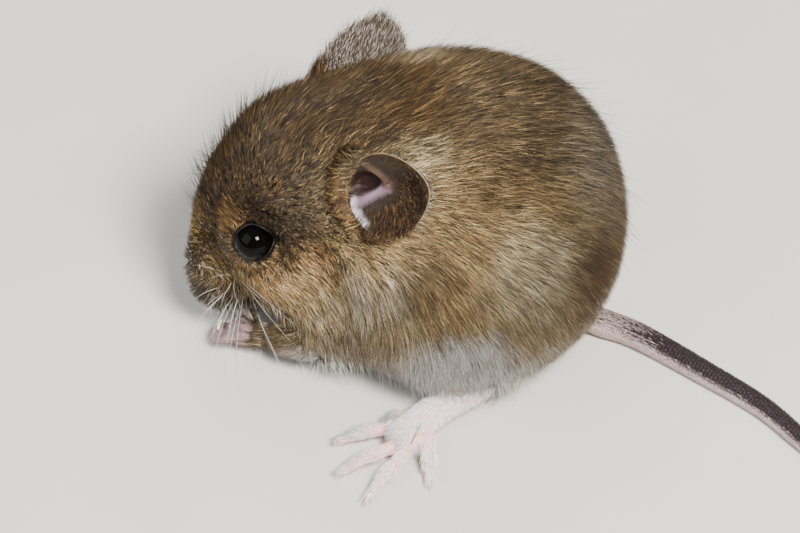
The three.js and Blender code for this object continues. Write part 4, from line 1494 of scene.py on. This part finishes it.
found = [tailTree.find(place) for place in tailMiddles]
middleHeight = np.array([place[2] for place, _, _ in found])
tailHeight = (tailMiddles[:, 2] - middleHeight) / tailRadius[[index for _, index, _ in found]]
extraSet("tail_hair_top", tailFaces, 26 * rise(tailHeight, 0.3, 0.6), tailHair, "tail_skin",
         alongTail, plainTones("2a2226", 0.3, 0.3))
extraSet("tail_hair_under", tailFaces, 26 * rise(tailHeight, 0.6, 0.2), tailHair, "tail_skin",
         alongTail, plainTones("eee8ea", 0.15, 0.0), paleHairMaterial)
atBase = rise(tailMiddles[:, 0], -25, -16)
baseHair = {**tailHair, "length": (1.0, 2.4)}
extraSet("tail_base_hair", tailFaces, 50 * atBase, baseHair, "tail_skin",
         alongTail, plainTones("efe9ea", 0.15, 0.0), paleHairMaterial)

whisker = {
    # the foremost whisker of each row
    "rows": [(19.6, 3.0, 10.0), (19.7, 3.2, 9.2), (19.5, 3.3, 8.4), (19.4, 3.1, 7.6), (19.2, 2.8, 6.8)],
    "perRow": 7, "step": -0.4,
    "length": (7.0, 16.0), "width": 0.05,
    "droop": 0.1,
    "bright": "f2efe9", "dark": "3a322c",
}
curves, widths, tones, places, sides = [], [], [], [], []
for flip in (1, -1):
    for row, start in enumerate(whisker["rows"]):
        for number in range(whisker["perRow"]):
            wanted = np.array(start) + (whisker["step"] * number, 0.1 * number, 0.05 * number)
            place, _, index, _ = skinSurface.find_nearest(wanted * (1, flip, 1))
            backward = number / (whisker["perRow"] - 1)
            down = row / (len(whisker["rows"]) - 1)
            reachOut = draws.uniform(*whisker["length"]) * mixed(0.45, 1, backward)
            turn = math.radians(draws.uniform(-12, 12) + mixed(20, 100, backward))
            climb = math.radians(draws.uniform(-8, 8) + mixed(54, -42, down) - 26 * backward * (1 - down))
            level = math.cos(climb)
            aim = np.array((math.cos(turn) * level, flip * math.sin(turn) * level, math.sin(climb)))
            bend = np.array((-0.16, 0.0, -whisker["droop"] - draws.uniform(0, 0.1)))
            share = np.linspace(0, 1, 9)[:, None]
            line = np.array(place) - aim * 0.2 + aim * share * reachOut + bend * reachOut * share ** 2
            line[:, 2] = np.maximum(line[:, 2], 0.1 + 0.2 * (1 - share[:, 0]))
            curves.append(line)
            widths.append(whisker["width"] * np.linspace(1, 0.3, 8))
            sides.append(unit(np.cross(aim, (0.1, 0.2, 0.97))))
            bright = draws.random() < 0.5
            tones.append([*paint(whisker["bright" if bright else "dark"]), 0])
            places.append(faceUv[index].mean(axis=0))
whiskerSets = [np.array(values) for values in (curves, sides, widths, tones, places)]
tuftPieces("whiskers", *whiskerSets, whiskerMaterial, "pale_coat")

# a plain pale floor, soft studio light and the camera
studio = {"floorSize": 3.0, "floor": ("bfbbb4", "c8c4bd"), "world": 0.36}
floorMesh = bpy.data.meshes.new("floor")
half = studio["floorSize"] / 2
corners = [(-half, -half, 0), (half, -half, 0), (half, half, 0), (-half, half, 0)]
floorMesh.from_pydata(corners, [], [(0, 1, 2, 3)])
floor = bpy.data.objects.new("floor", floorMesh)
bpy.context.scene.collection.objects.link(floor)
floorLook = Nodes("floor")
grain = floorLook.noise(60, 4)
floorTone = floorLook.mix(grain, *[colour(code) for code in studio["floor"]])
floorLook.link(floorTone, floorLook.shader.inputs["Base Color"])
floorMesh.materials.append(floorLook.finish(Roughness=0.9))

world = bpy.data.worlds.new("studio")
bpy.context.scene.world = world
world.use_nodes = True
background = world.node_tree.nodes["Background"]
background.inputs["Color"].default_value = (0.93, 0.96, 1.0, 1)
background.inputs["Strength"].default_value = studio["world"]

# seenWidth is what a frame of 800 by 533 takes in across, at the aim
camera = {"aim": (2.0, 0.0, 7.85), "distance": 420.0, "azimuth": 180, "elevation": 45, "seenWidth": 80.0}


def aimed(thing, aim, setting):
    # sets a lamp or camera round the aim, and turns it towards the aim
    turn, lift = math.radians(setting["azimuth"]), math.radians(setting["elevation"])
    out = (math.sin(turn) * math.cos(lift), -math.cos(turn) * math.cos(lift), math.sin(lift))
    place = np.array(aim) + setting["distance"] * np.array(out)
    thing.location = toMetres(place)
    way = toMetres(aim) - toMetres(place)
    thing.rotation_euler = Vector(way).to_track_quat("-Z", "Y").to_euler()
    bpy.context.scene.collection.objects.link(thing)


lens = bpy.data.cameras.new("camera")
lens.sensor_fit = "HORIZONTAL"
lens.sensor_width = 36.0
lens.lens = lens.sensor_width * camera["distance"] / camera["seenWidth"]
lens.clip_start = 0.01
cameraThing = bpy.data.objects.new("camera", lens)
aimed(cameraThing, camera["aim"], camera)
bpy.context.scene.camera = cameraThing

lights = {
    "key": {
        "azimuth": 206, "elevation": 52, "distance": 500,
        "size": 0.14, "power": 8.5, "tint": (1.0, 0.97, 0.92),
    },
    "fill": {
        "azimuth": 120, "elevation": 35, "distance": 600,
        "size": 0.5, "power": 2.2, "tint": (0.9, 0.95, 1.0),
    },
    "back": {
        "azimuth": 10, "elevation": 50, "distance": 600,
        "size": 0.4, "power": 1.6, "tint": (1.0, 0.98, 0.95),
    },
}
for name, setting in lights.items():
    lamp = bpy.data.lights.new(name, "AREA")
    lamp.size = setting["size"]
    lamp.energy = setting["power"]
    lamp.color = setting["tint"]
    aimed(bpy.data.objects.new(name, lamp), (0, 0, 15), setting)
